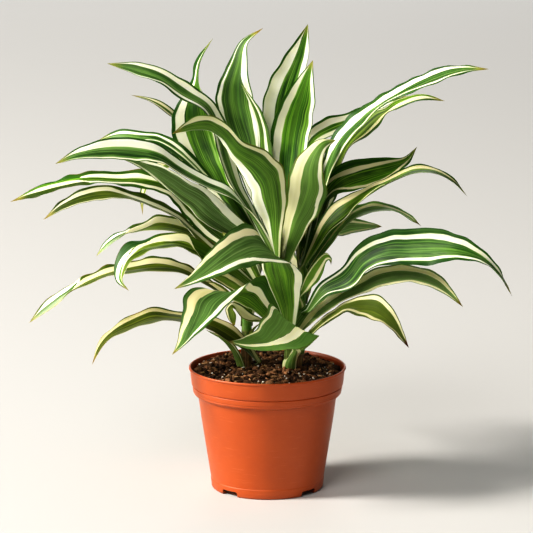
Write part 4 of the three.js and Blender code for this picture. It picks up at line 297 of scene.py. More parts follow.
        [-25.3, 44, 227.4, 2.57, -8.49, 2.66, 1.85], [-33.8, 52, 239.2, 2.64, -9.8, 2.75, 2.1], [-43.7, 58.2, 250.3, 2.28, -10.51, 2.41, 2.2],
        [-53.9, 63.4, 261.4, 1.55, -10.33, 1.53, 2.11], [-65.3, 68.4, 271.4, 0.14, -9.18, -0.31, 1.84], [-77.1, 73.6, 281, -0.98, -7.14, -1.87, 1.49],
        [-90.8, 78.8, 287.9, -0.21, -4.11, -0.96, 0.84], [-106.2, 84, 290.8, 0, 0, 0, 0],
    ],
    "leaf_39": [
        [-1.8, -6, 148.2, 2.28, -3.07, 1.83, 0.85], [-4, -8, 154.4, 2.76, -4, 2.42, 1.09], [-6.2, -9.9, 160.7, 3.24, -5.36, 3.11, 1.4],
        [-8.9, -11, 166.4, 3.73, -6.73, 3.86, 1.72], [-11.8, -11.3, 171.9, 4.26, -7.66, 4.56, 1.98], [-14.9, -11.3, 177.2, 4.56, -7.98, 5.01, 2.09],
        [-18.2, -10.9, 182.3, 4.66, -7.5, 5.2, 2.05], [-21.8, -10.1, 187.2, 4.52, -6.32, 5.07, 1.85], [-25.5, -8.7, 191.8, 4.04, -4.74, 4.63, 1.55],
        [-30, -7.3, 195.7, 2.36, -2.71, 2.65, 0.89], [-34.4, -6, 199.7, 0, 0, 0, 0],
    ],
    "leaf_40": [
        [10.8, 12.9, 174.2, -5.18, -0.45, 0, 1.04], [10.1, 19.7, 191.9, -6.39, -0.57, -0.05, 1.28], [9.1, 26.5, 209, -8.54, -0.8, -0.16, 1.72],
        [7.6, 35.6, 224.5, -10.6, -1.07, -0.38, 2.13], [5.5, 47.1, 237.9, -12.04, -1.38, -0.67, 2.43], [2.9, 60.6, 248.7, -12.79, -1.71, -0.99, 2.59],
        [-0.3, 75.8, 256.6, -12.35, -1.98, -1.25, 2.51], [-4, 92.5, 261.1, -11.06, -2.16, -1.37, 2.27], [-8.1, 111.7, 261.7, -8.97, -2.14, -1.29, 1.86],
        [-12.4, 131.3, 258.6, -5.41, -1.57, -0.86, 1.14], [-16.9, 150.1, 252, 0, 0, 0, 0],
    ],
    "leaf_41": [
        [-10.5, 16.8, 166.2, -4.77, -1.5, -0.19, 1], [-13.9, 23.4, 182.2, -5.8, -2.09, -0.19, 1.23], [-18, 31.6, 197, -7.65, -3.09, -0.15, 1.65],
        [-23.1, 41.7, 210.1, -9.37, -4.15, 0.01, 2.05], [-29, 53.7, 221, -10.54, -4.99, 0.31, 2.33], [-35.7, 67.2, 229.4, -11.14, -5.51, 0.7, 2.49],
        [-43, 81.9, 235.1, -10.75, -5.42, 1.07, 2.42], [-50.7, 97.3, 237.7, -9.69, -4.85, 1.31, 2.18], [-58.8, 113, 237.1, -7.98, -3.84, 1.33, 1.79],
        [-66.8, 128.4, 233.3, -4.92, -2.22, 0.93, 1.1], [-74.5, 142.9, 226.4, 0, 0, 0, 0],
    ],
    "leaf_42": [
        [28.5, 13.4, 159.5, -5.15, 0.69, 0.21, 1.04], [30.4, 24.6, 174, -6.31, 1.12, 0.21, 1.28], [32.9, 37.1, 187.4, -8.38, 1.84, 0.16, 1.72],
        [35.9, 49.1, 199.5, -10.32, 2.66, -0.01, 2.13], [39.6, 61.5, 209.8, -11.65, 3.37, -0.33, 2.43], [43.8, 75.3, 217.8, -12.34, 3.84, -0.74, 2.59],
        [48.5, 90.3, 223, -11.91, 3.84, -1.11, 2.51], [53.7, 105.9, 225.4, -10.73, 3.46, -1.36, 2.27], [59.1, 121.9, 224.7, -8.8, 2.73, -1.38, 1.86],
        [64.6, 137.5, 221, -5.39, 1.55, -0.97, 1.14], [70, 152.2, 214.3, 0, 0, 0, 0],
    ],
    "leaf_43": [
        [-15.1, 5.4, 152, -3.98, -2.65, -0.41, 0.96], [-21.3, 13, 163.3, -4.89, -3.31, -0.44, 1.18], [-28.1, 21.8, 173.4, -6.52, -4.47, -0.48, 1.58],
        [-35.5, 31.7, 181.9, -8.11, -5.57, -0.38, 1.97], [-43.2, 42.7, 188.5, -9.27, -6.28, -0.14, 2.24], [-51.1, 54.6, 193.1, -9.99, -6.55, 0.2, 2.39],
        [-59, 67.1, 195.4, -9.85, -6.11, 0.57, 2.32], [-66.7, 79.9, 195.3, -9.07, -5.19, 0.84, 2.1], [-74, 92.8, 192.7, -7.6, -3.91, 0.93, 1.72],
        [-80.6, 105.2, 187.8, -4.76, -2.12, 0.68, 1.05], [-86.5, 116.9, 180.5, 0, 0, 0, 0],
    ],
    "leaf_44": [
        [28.2, 10.9, 150, -4.74, 0.65, 0.43, 0.96], [30.6, 20.9, 161, -5.83, 0.89, 0.46, 1.18], [33.1, 32, 170.7, -7.8, 1.29, 0.49, 1.58],
        [35.6, 44.4, 178.7, -9.69, 1.67, 0.39, 1.97], [38.1, 57.8, 184.9, -11.04, 1.89, 0.15, 2.24], [40.4, 72.1, 188.9, -11.79, 1.91, -0.2, 2.39],
        [42.6, 86.8, 190.7, -11.47, 1.63, -0.57, 2.32], [44.6, 101.6, 190.1, -10.38, 1.17, -0.83, 2.1], [46.3, 116.2, 187, -8.53, 0.62, -0.92, 1.72],
        [47.6, 130.1, 181.6, -5.21, 0.12, -0.67, 1.05], [48.6, 142.9, 173.8, 0, 0, 0, 0],
    ],
    "leaf_45": [
        [11, 13.3, 180.3, -4.89, 1.03, -0.07, 1], [11.3, 17.5, 196.3, -6.03, 1.27, -0.13, 1.23], [11.9, 23.4, 211.8, -8.07, 1.68, -0.22, 1.65],
        [12.7, 30.7, 226.9, -10.04, 2.06, -0.31, 2.05], [13.8, 38.8, 241.4, -11.43, 2.32, -0.38, 2.33], [15.2, 47.5, 255, -12.2, 2.45, -0.4, 2.49],
        [16.9, 56.8, 267.7, -11.84, 2.36, -0.36, 2.42], [19.1, 66.3, 279.1, -10.7, 2.14, -0.27, 2.18], [21.6, 77, 288.8, -8.78, 1.77, -0.16, 1.79],
        [24.4, 88.9, 296.7, -5.36, 1.1, -0.05, 1.1], [27.6, 101.6, 302.6, 0, 0, 0, 0],
    ],
    "leaf_46": [
        [-15.6, 5.4, 134, -4.95, -0.7, 0, 1], [-17.4, 17.5, 142.7, -6.11, -0.84, -0.14, 1.23], [-19.4, 30.4, 150.1, -8.16, -1.13, -0.39, 1.65],
        [-21.7, 44, 155.8, -10.11, -1.48, -0.76, 2.05], [-24.2, 58.3, 159.7, -11.46, -1.86, -1.2, 2.33], [-27, 72.9, 161.7, -12.13, -2.25, -1.62, 2.49],
        [-29.9, 87.6, 161.7, -11.66, -2.54, -1.88, 2.42], [-33, 102.1, 159.5, -10.4, -2.69, -1.94, 2.18], [-36.1, 116.1, 155.2, -8.4, -2.59, -1.74, 1.79],
        [-39.2, 129.3, 148.9, -5.04, -1.84, -1.11, 1.1], [-42.1, 141.4, 140.6, 0, 0, 0, 0],
    ],
    "leaf_47": [
        [24.7, 10.5, 140, -4.85, -1.21, 0, 1], [21.7, 22.8, 149, -5.97, -1.53, 0.14, 1.23], [18.6, 35.9, 156.6, -7.98, -2.07, 0.39, 1.65],
        [15.4, 49.8, 162.5, -9.91, -2.52, 0.76, 2.05], [12.1, 64.4, 166.6, -11.28, -2.73, 1.2, 2.33], [8.9, 79.4, 168.7, -12.05, -2.67, 1.62, 2.49],
        [5.7, 94.6, 168.6, -11.72, -2.26, 1.88, 2.42], [2.7, 109.6, 166.4, -10.61, -1.67, 1.94, 2.18], [-0.2, 124.2, 161.9, -8.73, -0.99, 1.74, 1.79],
        [-2.7, 138, 155.4, -5.35, -0.35, 1.11, 1.1], [-5, 150.6, 146.8, 0, 0, 0, 0],
    ],
    "leaf_48": [
        [12.5, 1.1, 160, -4.97, -1.44, 0.47, 1.04], [10.6, 12.2, 172.1, -6.22, -1.49, 0.5, 1.28], [8.7, 24.7, 182.6, -8.4, -1.63, 0.53, 1.72],
        [6.7, 38.6, 191.3, -10.53, -1.63, 0.43, 2.13], [4.8, 53.6, 197.7, -12.04, -1.49, 0.16, 2.43], [3.1, 69.5, 201.7, -12.88, -1.32, -0.22, 2.59],
        [1.5, 85.8, 203.1, -12.5, -1.14, -0.61, 2.51], [0.1, 102.2, 201.7, -11.27, -1.02, -0.9, 2.27], [-1, 118.1, 197.5, -9.22, -0.93, -0.98, 1.86],
        [-1.9, 133.1, 190.7, -5.61, -0.68, -0.71, 1.14], [-2.4, 146.6, 181.3, 0, 0, 0, 0],
    ],
    "leaf_49": [
        [27.2, 20.2, 170.2, -4.39, 0.28, -0.21, 0.88], [26.6, 24.6, 185.4, -5.42, 0.06, -0.28, 1.09], [25.8, 29.8, 200.3, -7.24, -0.29, -0.36, 1.45],
        [24.6, 36.9, 214.2, -8.98, -0.81, -0.36, 1.8], [23.1, 45.9, 226.8, -10.17, -1.38, -0.24, 2.05], [21.2, 56.8, 237.9, -10.79, -1.9, 0, 2.19],
        [18.8, 69.4, 247.3, -10.4, -2.18, 0.32, 2.13], [16.1, 83.4, 254.7, -9.33, -2.19, 0.61, 1.92], [12.9, 98.1, 260, -7.61, -1.89, 0.79, 1.58],
        [9.4, 111.6, 263.4, -4.63, -1.17, 0.67, 0.96], [5.7, 124.6, 264.6, 0, 0, 0, 0],
    ],
}

# The cane that each leaf clasps.
SHOOT_OF = {
    "leaf_01": "A", "leaf_02": "B", "leaf_03": "A", "leaf_04": "B", "leaf_05": "B", "leaf_06": "B",
    "leaf_07": "B", "leaf_08": "B", "leaf_09": "B", "leaf_10": "B", "leaf_11": "B", "leaf_12": "B",
    "leaf_13": "B", "leaf_14": "B", "leaf_15": "B", "leaf_16": "A", "leaf_17": "A", "leaf_18": "B",
    "leaf_19": "A", "leaf_20": "A", "leaf_21": "A", "leaf_22": "A", "leaf_23": "A", "leaf_24": "C",
    "leaf_25": "C", "leaf_26": "A", "leaf_27": "C", "leaf_28": "C", "leaf_29": "C", "leaf_30": "C",
    "leaf_31": "C", "leaf_32": "C", "leaf_33": "C", "leaf_34": "C", "leaf_35": "A", "leaf_36": "A",
    "leaf_37": "A", "leaf_38": "B", "leaf_39": "B", "leaf_40": "A", "leaf_41": "B", "leaf_42": "C",
    "leaf_43": "B", "leaf_44": "C", "leaf_45": "A", "leaf_46": "B", "leaf_47": "C", "leaf_48": "A",
    "leaf_49": "C",
}

# Where the pale bands run: [share of the length, band 1 from, to, band 2 from, to] across -1 .. 1.
BANDS = {
    "leaf_01": [[0, -0.85, -0.3, 0.6, 0.9], [0.4, -0.85, -0.35, 0.7, 0.92], [0.55, -0.85, -0.3, 0.7, 0.9], [0.65, -0.85, -0.25, 0.76, 0.9], [0.8, -0.85, -0.25, 0.8, 0.92], [0.9, -0.8, -0.2, 0.76, 0.86], [1, -0.95, -0.45, 0.6, 0.8]],
    "leaf_02": [[0, -0.8, -0.35, 0.05, 0.4], [0.55, -0.6, -0.25, 0.1, 0.35], [0.62, -0.68, -0.35, 0.05, 0.25], [0.68, -0.75, -0.5, -0.05, 0.12], [0.74, -0.8, -0.68, -0.1, 0.02], [0.8, -0.72, -0.42, 0.3, 0.36], [0.88, -0.68, -0.3, 0.4, 0.45], [1, -0.6, -0.3, 0.4, 0.5]],
    "leaf_03": [[0, -1.0, -0.9, 0.4, 0.9], [0.3, -1.0, -0.92, 0.42, 0.95], [0.5, -0.98, -0.87, 0.72, 1.0], [0.65, -0.95, -0.8, 0.85, 1.0], [0.75, -0.85, -0.55, 0.85, 1.0], [0.88, -0.6, -0.1, 0.5, 0.85], [1, -0.5, 0, 0.2, 0.6]],
    "leaf_04": [[0, -0.8, -0.4, 0.4, 0.8], [0.48, -0.4, -0.15, 0.4, 0.7], [0.52, -0.6, -0.2, 0.35, 0.6], [0.55, -0.73, -0.24, 0.3, 0.52], [0.65, -0.69, -0.22, 0.42, 0.66], [0.72, -0.6, -0.3, 0.3, 0.6], [0.78, -0.5, -0.3, 0.2, 0.5], [1, -0.5, -0.3, 0.2, 0.5]],
    "leaf_05": [[0, -0.8, -0.3, 0.75, 0.9], [0.4, -0.65, -0.1, 0.8, 0.95], [0.52, -0.36, 0.3, 0.8, 0.95], [0.62, -0.5, -0.05, 0.75, 0.9], [0.7, -0.8, -0.36, 0.8, 0.92], [1, -0.7, -0.25, 0.75, 0.9]],
    "leaf_06": [[0, -0.5, 0.3, 0.9, 0.97], [1, -0.5, 0.3, 0.9, 0.97]],
    "leaf_07": [[0, -0.8, -0.35, 0.93, 0.98], [0.3, -0.78, -0.18, 0.93, 0.97], [0.5, -0.84, -0.33, 0.93, 0.97], [0.6, -0.69, -0.07, 0.93, 0.97], [0.7, -0.73, -0.1, 0.93, 0.97], [0.75, -0.55, 0.05, 0.93, 0.97], [0.82, -0.07, 0.4, 0.93, 0.97], [1, 0, 0.5, 0.93, 0.97]],
    "leaf_08": [[0, 0.84, 0.86, 0.9, 0.95], [0.36, 0.84, 0.86, 0.9, 0.95], [0.385, -0.95, -0.4, 0.93, 0.97], [0.45, -0.9, -0.3, 0.93, 0.97], [0.5, -0.78, -0.11, 0.93, 0.97], [0.6, -0.78, -0.4, 0.93, 0.97], [0.65, -0.55, -0.18, 0.93, 0.97], [0.7, -0.29, 0.04, 0.93, 0.97], [0.8, 0.1, 0.3, 0.93, 0.97], [0.9, 0.35, 0.6, 0.93, 0.97], [1, 0.6, 0.8, 0.9, 0.95]],
    "leaf_09": [[0, -0.78, -0.3, 0.93, 0.97], [0.3, -0.78, -0.27, 0.93, 0.97], [0.5, -0.78, -0.2, 0.93, 0.97], [0.6, -0.85, -0.25, 0.93, 0.97], [0.7, -0.75, 0.0, 0.93, 0.97], [0.77, -0.5, 0.4, 0.93, 0.97], [0.85, -0.4, 0.5, 0.93, 0.97], [1, -0.3, 0.5, 0.93, 0.97]],
    "leaf_10": [[0, -0.9, -0.75, 0.65, 0.8], [1, -0.9, -0.75, 0.65, 0.8]],
    "leaf_11": [[0, -0.6, 0.3, 0.93, 0.98], [0.08, -0.93, -0.5, 0.93, 0.98], [0.3, -0.92, -0.62, 0.93, 0.98], [0.5, -0.88, -0.62, 0.93, 0.98], [0.65, -0.92, -0.6, 0.93, 0.98], [0.9, -0.98, -0.5, 0.93, 0.98], [1, -0.95, -0.3, 0.9, 0.95]],
    "leaf_12": [[0, -1.2, -1.1, 0.6, 0.75], [1, -1.2, -1.1, 0.6, 0.8]],
    "leaf_13": [[0, -0.7, -0.2, 0.9, 0.95], [0.2, -0.72, 0.6, 0.9, 0.95], [0.35, -0.7, 0.85, 0.95, 1], [0.5, -0.75, 0.7, 0.95, 1], [0.6, -0.85, -0.55, 0.95, 1], [1, -0.85, -0.7, 0.95, 1]],
    "leaf_14": [[0, -0.9, 0.5, 0.95, 1], [1, -0.95, 0.5, 0.95, 1]],
    "leaf_15": [[0, -0.5, -0.3, 0.5, 0.95], [0.3, -0.45, -0.3, 0.5, 0.92], [0.5, -0.6, -0.35, 0.5, 0.9], [0.8, -0.3, -0.1, 0.6, 0.9], [1, -0.2, 0, 0.6, 0.9]],
    "leaf_16": [[0, -0.85, -0.4, 0.4, 0.8], [0.55, -0.85, -0.35, 0.4, 0.72], [0.65, -0.84, -0.34, 0.4, 0.72], [0.75, -0.86, -0.4, 0.45, 0.7], [0.8, -0.86, -0.42, 0.55, 0.72], [0.83, -0.88, -0.46, 0.84, 0.95], [0.9, -0.9, -0.55, 0.87, 0.96], [1, -0.85, -0.6, 0.85, 0.93]],
    "leaf_17": [[0, -0.97, -0.4, 0.66, 0.93], [0.2, -0.97, -0.4, 0.68, 0.93], [0.35, -0.97, -0.44, 0.68, 0.93], [0.45, -0.96, -0.5, 0.7, 0.93], [0.52, -0.96, -0.46, 0.72, 0.92], [0.6, -0.97, -0.3, 0.72, 0.9], [0.68, -0.97, -0.25, 0.7, 0.9], [0.75, -0.98, -0.85, 0.58, 0.9], [0.85, -0.98, -0.9, 0.48, 0.92], [1, -0.95, -0.8, 0.4, 0.85]],
    "leaf_18": [[0, -0.7, -0.5, 0.4, 0.8], [0.35, -0.75, -0.6, 0.4, 0.8], [0.5, -0.85, -0.68, 0.38, 0.8], [0.6, -0.85, -0.7, 0.42, 0.82], [0.72, -0.9, -0.78, 0.4, 0.8], [0.78, -0.95, -0.9, 0.3, 0.6], [0.88, -0.95, -0.9, 0.1, 0.4], [1, -0.9, -0.8, 0.1, 0.4]],
    "leaf_19": [[0, -0.9, -0.5, 0.6, 0.9], [0.5, -0.93, -0.68, 0.72, 0.93], [0.6, -0.95, -0.72, 0.68, 0.9], [0.7, -0.97, -0.76, 0.68, 0.86], [0.76, -0.88, -0.35, 0.7, 0.82], [0.84, -0.85, -0.15, 0.73, 0.8], [0.9, -0.7, -0.1, 0.75, 0.82], [1, -0.6, 0, 0.7, 0.8]],
    "leaf_20": [[0, -0.9, -0.5, 0.5, 0.9], [0.6, -0.9, -0.6, 0.2, 0.6], [0.75, -0.95, -0.2, 0.4, 0.7], [1, -0.98, 0.1, 0.5, 0.8]],
    "leaf_21": [[0, -0.93, -0.55, 0.25, 0.9], [0.6, -0.93, -0.6, 0.27, 0.93], [0.75, -0.95, -0.6, 0.22, 0.88], [0.85, -0.97, -0.6, 0.12, 0.78], [0.95, -0.95, -0.5, 0.2, 0.7], [1, -0.9, -0.4, 0.3, 0.7]],
    "leaf_22": [[0, -0.9, -0.75, 0.45, 0.85], [0.5, -0.95, -0.82, 0.47, 0.88], [0.6, -0.94, -0.83, 0.46, 0.8], [0.7, -0.95, -0.77, 0.45, 0.82], [0.8, -0.93, -0.7, 0.4, 0.82], [0.9, -0.86, -0.5, 0.5, 0.88], [1, -0.8, -0.4, 0.4, 0.8]],
    "leaf_23": [[0, -0.9, 0.0, 0.9, 0.97], [0.3, -0.9, -0.2, 0.88, 0.97], [0.5, -0.87, -0.3, 0.6, 0.78], [0.6, -0.85, -0.35, 0.58, 0.75], [0.75, -0.9, -0.3, 0.6, 0.9], [0.9, -0.9, -0.3, 0.6, 0.9], [1, -0.8, -0.3, 0.4, 0.8]],
    "leaf_24": [[0, -0.7, -0.45, 0.5, 0.9], [0.22, -0.5, -0.2, 0.55, 0.88], [0.26, -0.75, -0.5, 0.5, 0.8], [0.33, -0.88, -0.66, 0.45, 0.72], [0.38, -0.9, -0.68, 0.25, 0.66], [0.45, -0.92, -0.64, 0.16, 0.68], [0.5, -0.95, -0.8, 0.04, 0.66], [0.55, -0.8, -0.62, 0.16, 0.6], [0.6, -0.55, -0.3, 0.06, 0.62], [0.65, -0.5, -0.2, 0.14, 0.74], [0.7, -0.46, -0.2, 0.27, 0.76], [0.76, -0.75, -0.5, 0.35, 0.78], [0.82, -0.8, -0.55, 0.42, 0.8], [0.87, -0.7, -0.5, 0.5, 0.8], [1, -0.5, -0.4, 0.3, 0.7]],
    "leaf_25": [[0, -0.8, -0.7, 0.7, 0.85], [0.3, -0.7, -0.6, 0.8, 0.9], [0.5, -0.6, -0.48, 0.6, 0.75], [0.6, -0.6, -0.33, 0.7, 0.8], [0.65, -0.6, -0.2, 0.8, 0.88], [0.7, -0.5, 0.0, 0.84, 0.9], [0.75, -0.4, 0.1, 0.9, 0.95], [1, -0.2, 0.5, 0.9, 0.95]],
    "leaf_26": [[0, -0.8, -0.3, 0.3, 0.8], [1, -0.8, -0.3, 0.3, 0.8]],
    "leaf_27": [[0, -0.3, -0.1, 0.3, 0.6], [0.35, -0.2, 0.0, 0.6, 0.8], [0.4, -0.29, -0.07, 0.6, 0.85], [0.45, -0.62, -0.4, 0.45, 0.71], [0.5, -0.84, -0.62, 0.27, 0.55], [0.6, -0.95, -0.78, 0.22, 0.55], [0.7, -0.99, -0.84, 0.27, 0.55], [0.8, -0.84, -0.62, 0.38, 0.66], [0.9, -0.5, -0.18, 0.6, 0.87], [1, -0.5, -0.2, 0.5, 0.8]],
    "leaf_28": [[0, -0.97, -0.9, 0.4, 0.8], [0.1, -0.97, -0.92, 0.27, 0.68], [0.2, -0.97, -0.92, 0.33, 0.8], [0.3, -0.95, -0.86, 0.38, 0.9], [0.4, -0.84, -0.64, 0.36, 0.9], [0.45, -0.47, -0.28, 0.55, 0.95], [0.5, -0.07, 0.12, 0.7, 0.97], [0.54, 0.2, 0.4, 0.5, 0.95], [0.56, -0.95, -0.9, 0.45, 0.85], [0.6, -0.95, -0.9, 0.38, 0.8], [0.7, -0.95, -0.9, 0.36, 0.8], [0.8, -0.95, -0.9, 0.42, 0.84], [0.9, -0.9, -0.8, 0.27, 0.6], [1, -0.8, -0.7, 0.2, 0.5]],
    "leaf_29": [[0, -0.9, -0.8, 0.3, 0.5], [0.2, -0.9, -0.8, 0.2, 0.4], [0.35, -0.9, -0.8, 0.04, 0.3], [0.4, -0.9, -0.8, -0.05, 0.2], [0.45, -0.9, -0.8, 0.0, 0.27], [0.5, -0.92, -0.8, 0.1, 0.4], [0.55, -0.92, -0.8, 0.27, 0.6], [0.6, -0.92, -0.8, 0.38, 0.78], [0.65, -0.92, -0.8, 0.38, 0.78], [0.7, -0.92, -0.8, 0.27, 0.71], [0.75, -0.9, -0.75, 0.16, 0.6], [0.8, -0.9, -0.7, 0.04, 0.5], [0.9, -0.8, -0.5, 0.2, 0.7], [1, -0.7, -0.4, 0.2, 0.7]],
    "leaf_30": [[0, -0.85, -0.78, 0.3, 0.5], [0.3, -0.85, -0.78, 0.2, 0.4], [0.5, -0.82, -0.66, 0.4, 0.62], [0.6, -0.78, -0.6, 0.5, 0.72], [0.9, -0.78, -0.58, 0.5, 0.74], [1, -0.8, -0.6, 0.4, 0.7]],
    "leaf_31": [[0, -0.8, -0.6, 0.3, 0.7], [1, -0.8, -0.5, 0.3, 0.7]],
    "leaf_32": [[0, -0.5, -0.4, 0.5, 0.65], [0.1, -0.66, -0.52, 0.58, 0.74], [0.2, -0.84, -0.73, 0.7, 0.86], [0.25, -0.9, -0.8, 0.62, 0.8], [0.3, -0.93, -0.84, 0.48, 0.7], [0.38, -0.88, -0.75, 0.42, 0.65], [0.5, -0.74, -0.57, 0.46, 0.68], [0.6, -0.7, -0.53, 0.45, 0.74], [0.7, -0.68, -0.52, 0.38, 0.75], [0.8, -0.78, -0.54, 0.32, 0.74], [0.9, -0.68, -0.4, 0.35, 0.72], [1, -0.6, -0.3, 0.3, 0.6]],
    "leaf_33": [[0, -0.99, -0.95, -0.8, -0.3], [0.1, -0.98, -0.93, -0.55, 0.05], [0.2, -0.97, -0.88, -0.1, 0.5], [0.3, -0.95, -0.75, 0.3, 0.9], [0.45, -0.95, -0.68, 0.42, 0.88], [0.6, -0.93, -0.66, 0.45, 0.86], [0.75, -0.92, -0.62, 0.42, 0.85], [0.9, -0.8, -0.5, 0.35, 0.8], [1, -0.7, -0.4, 0.3, 0.7]],
    "leaf_34": [[0, -0.5, -0.2, 0.7, 0.9], [0.35, -0.2, 0.2, 0.8, 0.95], [0.42, -0.5, -0.2, 0.75, 0.92], [0.5, -0.72, -0.48, 0.7, 0.9], [0.6, -0.9, -0.66, 0.6, 0.9], [0.75, -0.95, -0.72, 0.58, 0.88], [0.85, -0.7, -0.4, 0.6, 0.88], [1, -0.6, -0.2, 0.4, 0.8]],
    "leaf_35": [[0, -0.9, -0.6, 0.2, 0.7], [0.05, -0.9, -0.8, -0.9, -0.3], [0.1, -0.97, -0.93, -0.7, -0.15], [0.2, -0.93, -0.88, -0.05, 0.4], [0.3, -0.88, -0.78, 0.22, 0.53], [0.4, -0.88, -0.78, 0.17, 0.5], [0.5, -0.9, -0.82, 0.03, 0.4], [0.6, -0.95, -0.88, -0.1, 0.22], [0.7, -0.97, -0.9, -0.2, 0.16], [0.8, -0.98, -0.92, -0.35, 0.05], [1, -1, -0.95, -0.5, -0.1]],
    "leaf_36": [[0, -0.98, -0.95, -0.05, 0.3], [0.35, -0.98, -0.95, 0.02, 0.35], [0.42, -0.95, -0.8, 0.45, 0.8], [0.47, -0.85, -0.4, 0.62, 0.88], [0.55, -0.8, -0.32, 0.66, 0.9], [0.65, -0.82, -0.4, 0.64, 0.9], [0.75, -0.87, -0.5, 0.48, 0.76], [0.85, -0.92, -0.66, 0.15, 0.42], [1, -0.95, -0.8, -0.35, -0.05]],
    "leaf_37": [[0, -0.98, -0.93, 0.55, 0.92], [0.3, -0.98, -0.9, 0.6, 0.95], [0.42, -0.95, -0.75, 0.8, 0.98], [0.5, -0.75, -0.42, 0.8, 0.97], [0.6, -0.8, -0.48, 0.48, 0.68], [0.7, -0.9, -0.6, 0.45, 0.75], [0.8, -0.95, -0.7, 0.35, 0.7], [0.9, -1, -0.85, 0.05, 0.35], [1, -1, -0.8, -0.2, 0.2]],
    "leaf_38": [[0, -0.8, -0.3, 0.2, 0.6], [1, -0.8, -0.3, 0.2, 0.6]],
    "leaf_39": [[0, -0.35, 0.3, 0.9, 0.95], [1, -0.35, 0.3, 0.9, 0.95]],
    "leaf_40": [[0, -0.925, -0.447, 0.518, 0.905], [0.5, -0.909, -0.394, 0.42, 0.891], [1, -0.804, -0.262, 0.318, 0.836]],
    "leaf_41": [[0, -0.918, -0.459, 0.544, 0.911], [0.5, -0.793, -0.345, 0.452, 0.874], [1, -0.84, -0.26, 0.352, 0.797]],
    "leaf_42": [[0, -0.866, -0.49, 0.52, 0.895], [0.5, -0.835, -0.367, 0.466, 0.896], [1, -0.857, -0.341, 0.293, 0.818]],
    "leaf_43": [[0, -0.903, -0.533, 0.446, 0.878], [0.5, -0.872, -0.438, 0.413, 0.814], [1, -0.804, -0.314, 0.313, 0.811]],
    "leaf_44": [[0, -0.927, -0.511, 0.454, 0.92], [0.5, -0.865, -0.456, 0.464, 0.821], [1, -0.795, -0.319, 0.31, 0.855]],
    "leaf_45": [[0, -0.916, -0.543, 0.512, 0.904], [0.5, -0.795, -0.344, 0.463, 0.852], [1, -0.753, -0.36, 0.253, 0.808]],
    "leaf_46": [[0, -0.915, -0.508, 0.467, 0.887], [0.5, -0.793, -0.414, 0.505, 0.92], [1, -0.789, -0.329, 0.358, 0.8]],
    "leaf_47": [[0, -0.926, -0.503, 0.455, 0.907], [0.5, -0.857, -0.425, 0.484, 0.909], [1, -0.858, -0.296, 0.273, 0.852]],
    "leaf_48": [[0, -0.841, -0.525, 0.513, 0.898], [0.5, -0.833, -0.388, 0.479, 0.824], [1, -0.769, -0.324, 0.304, 0.78]],
    "leaf_49": [[0, -0.871, -0.489, 0.444, 0.885], [0.5, -0.855, -0.35, 0.497, 0.875], [1, -0.858, -0.267, 0.291, 0.809]],
}

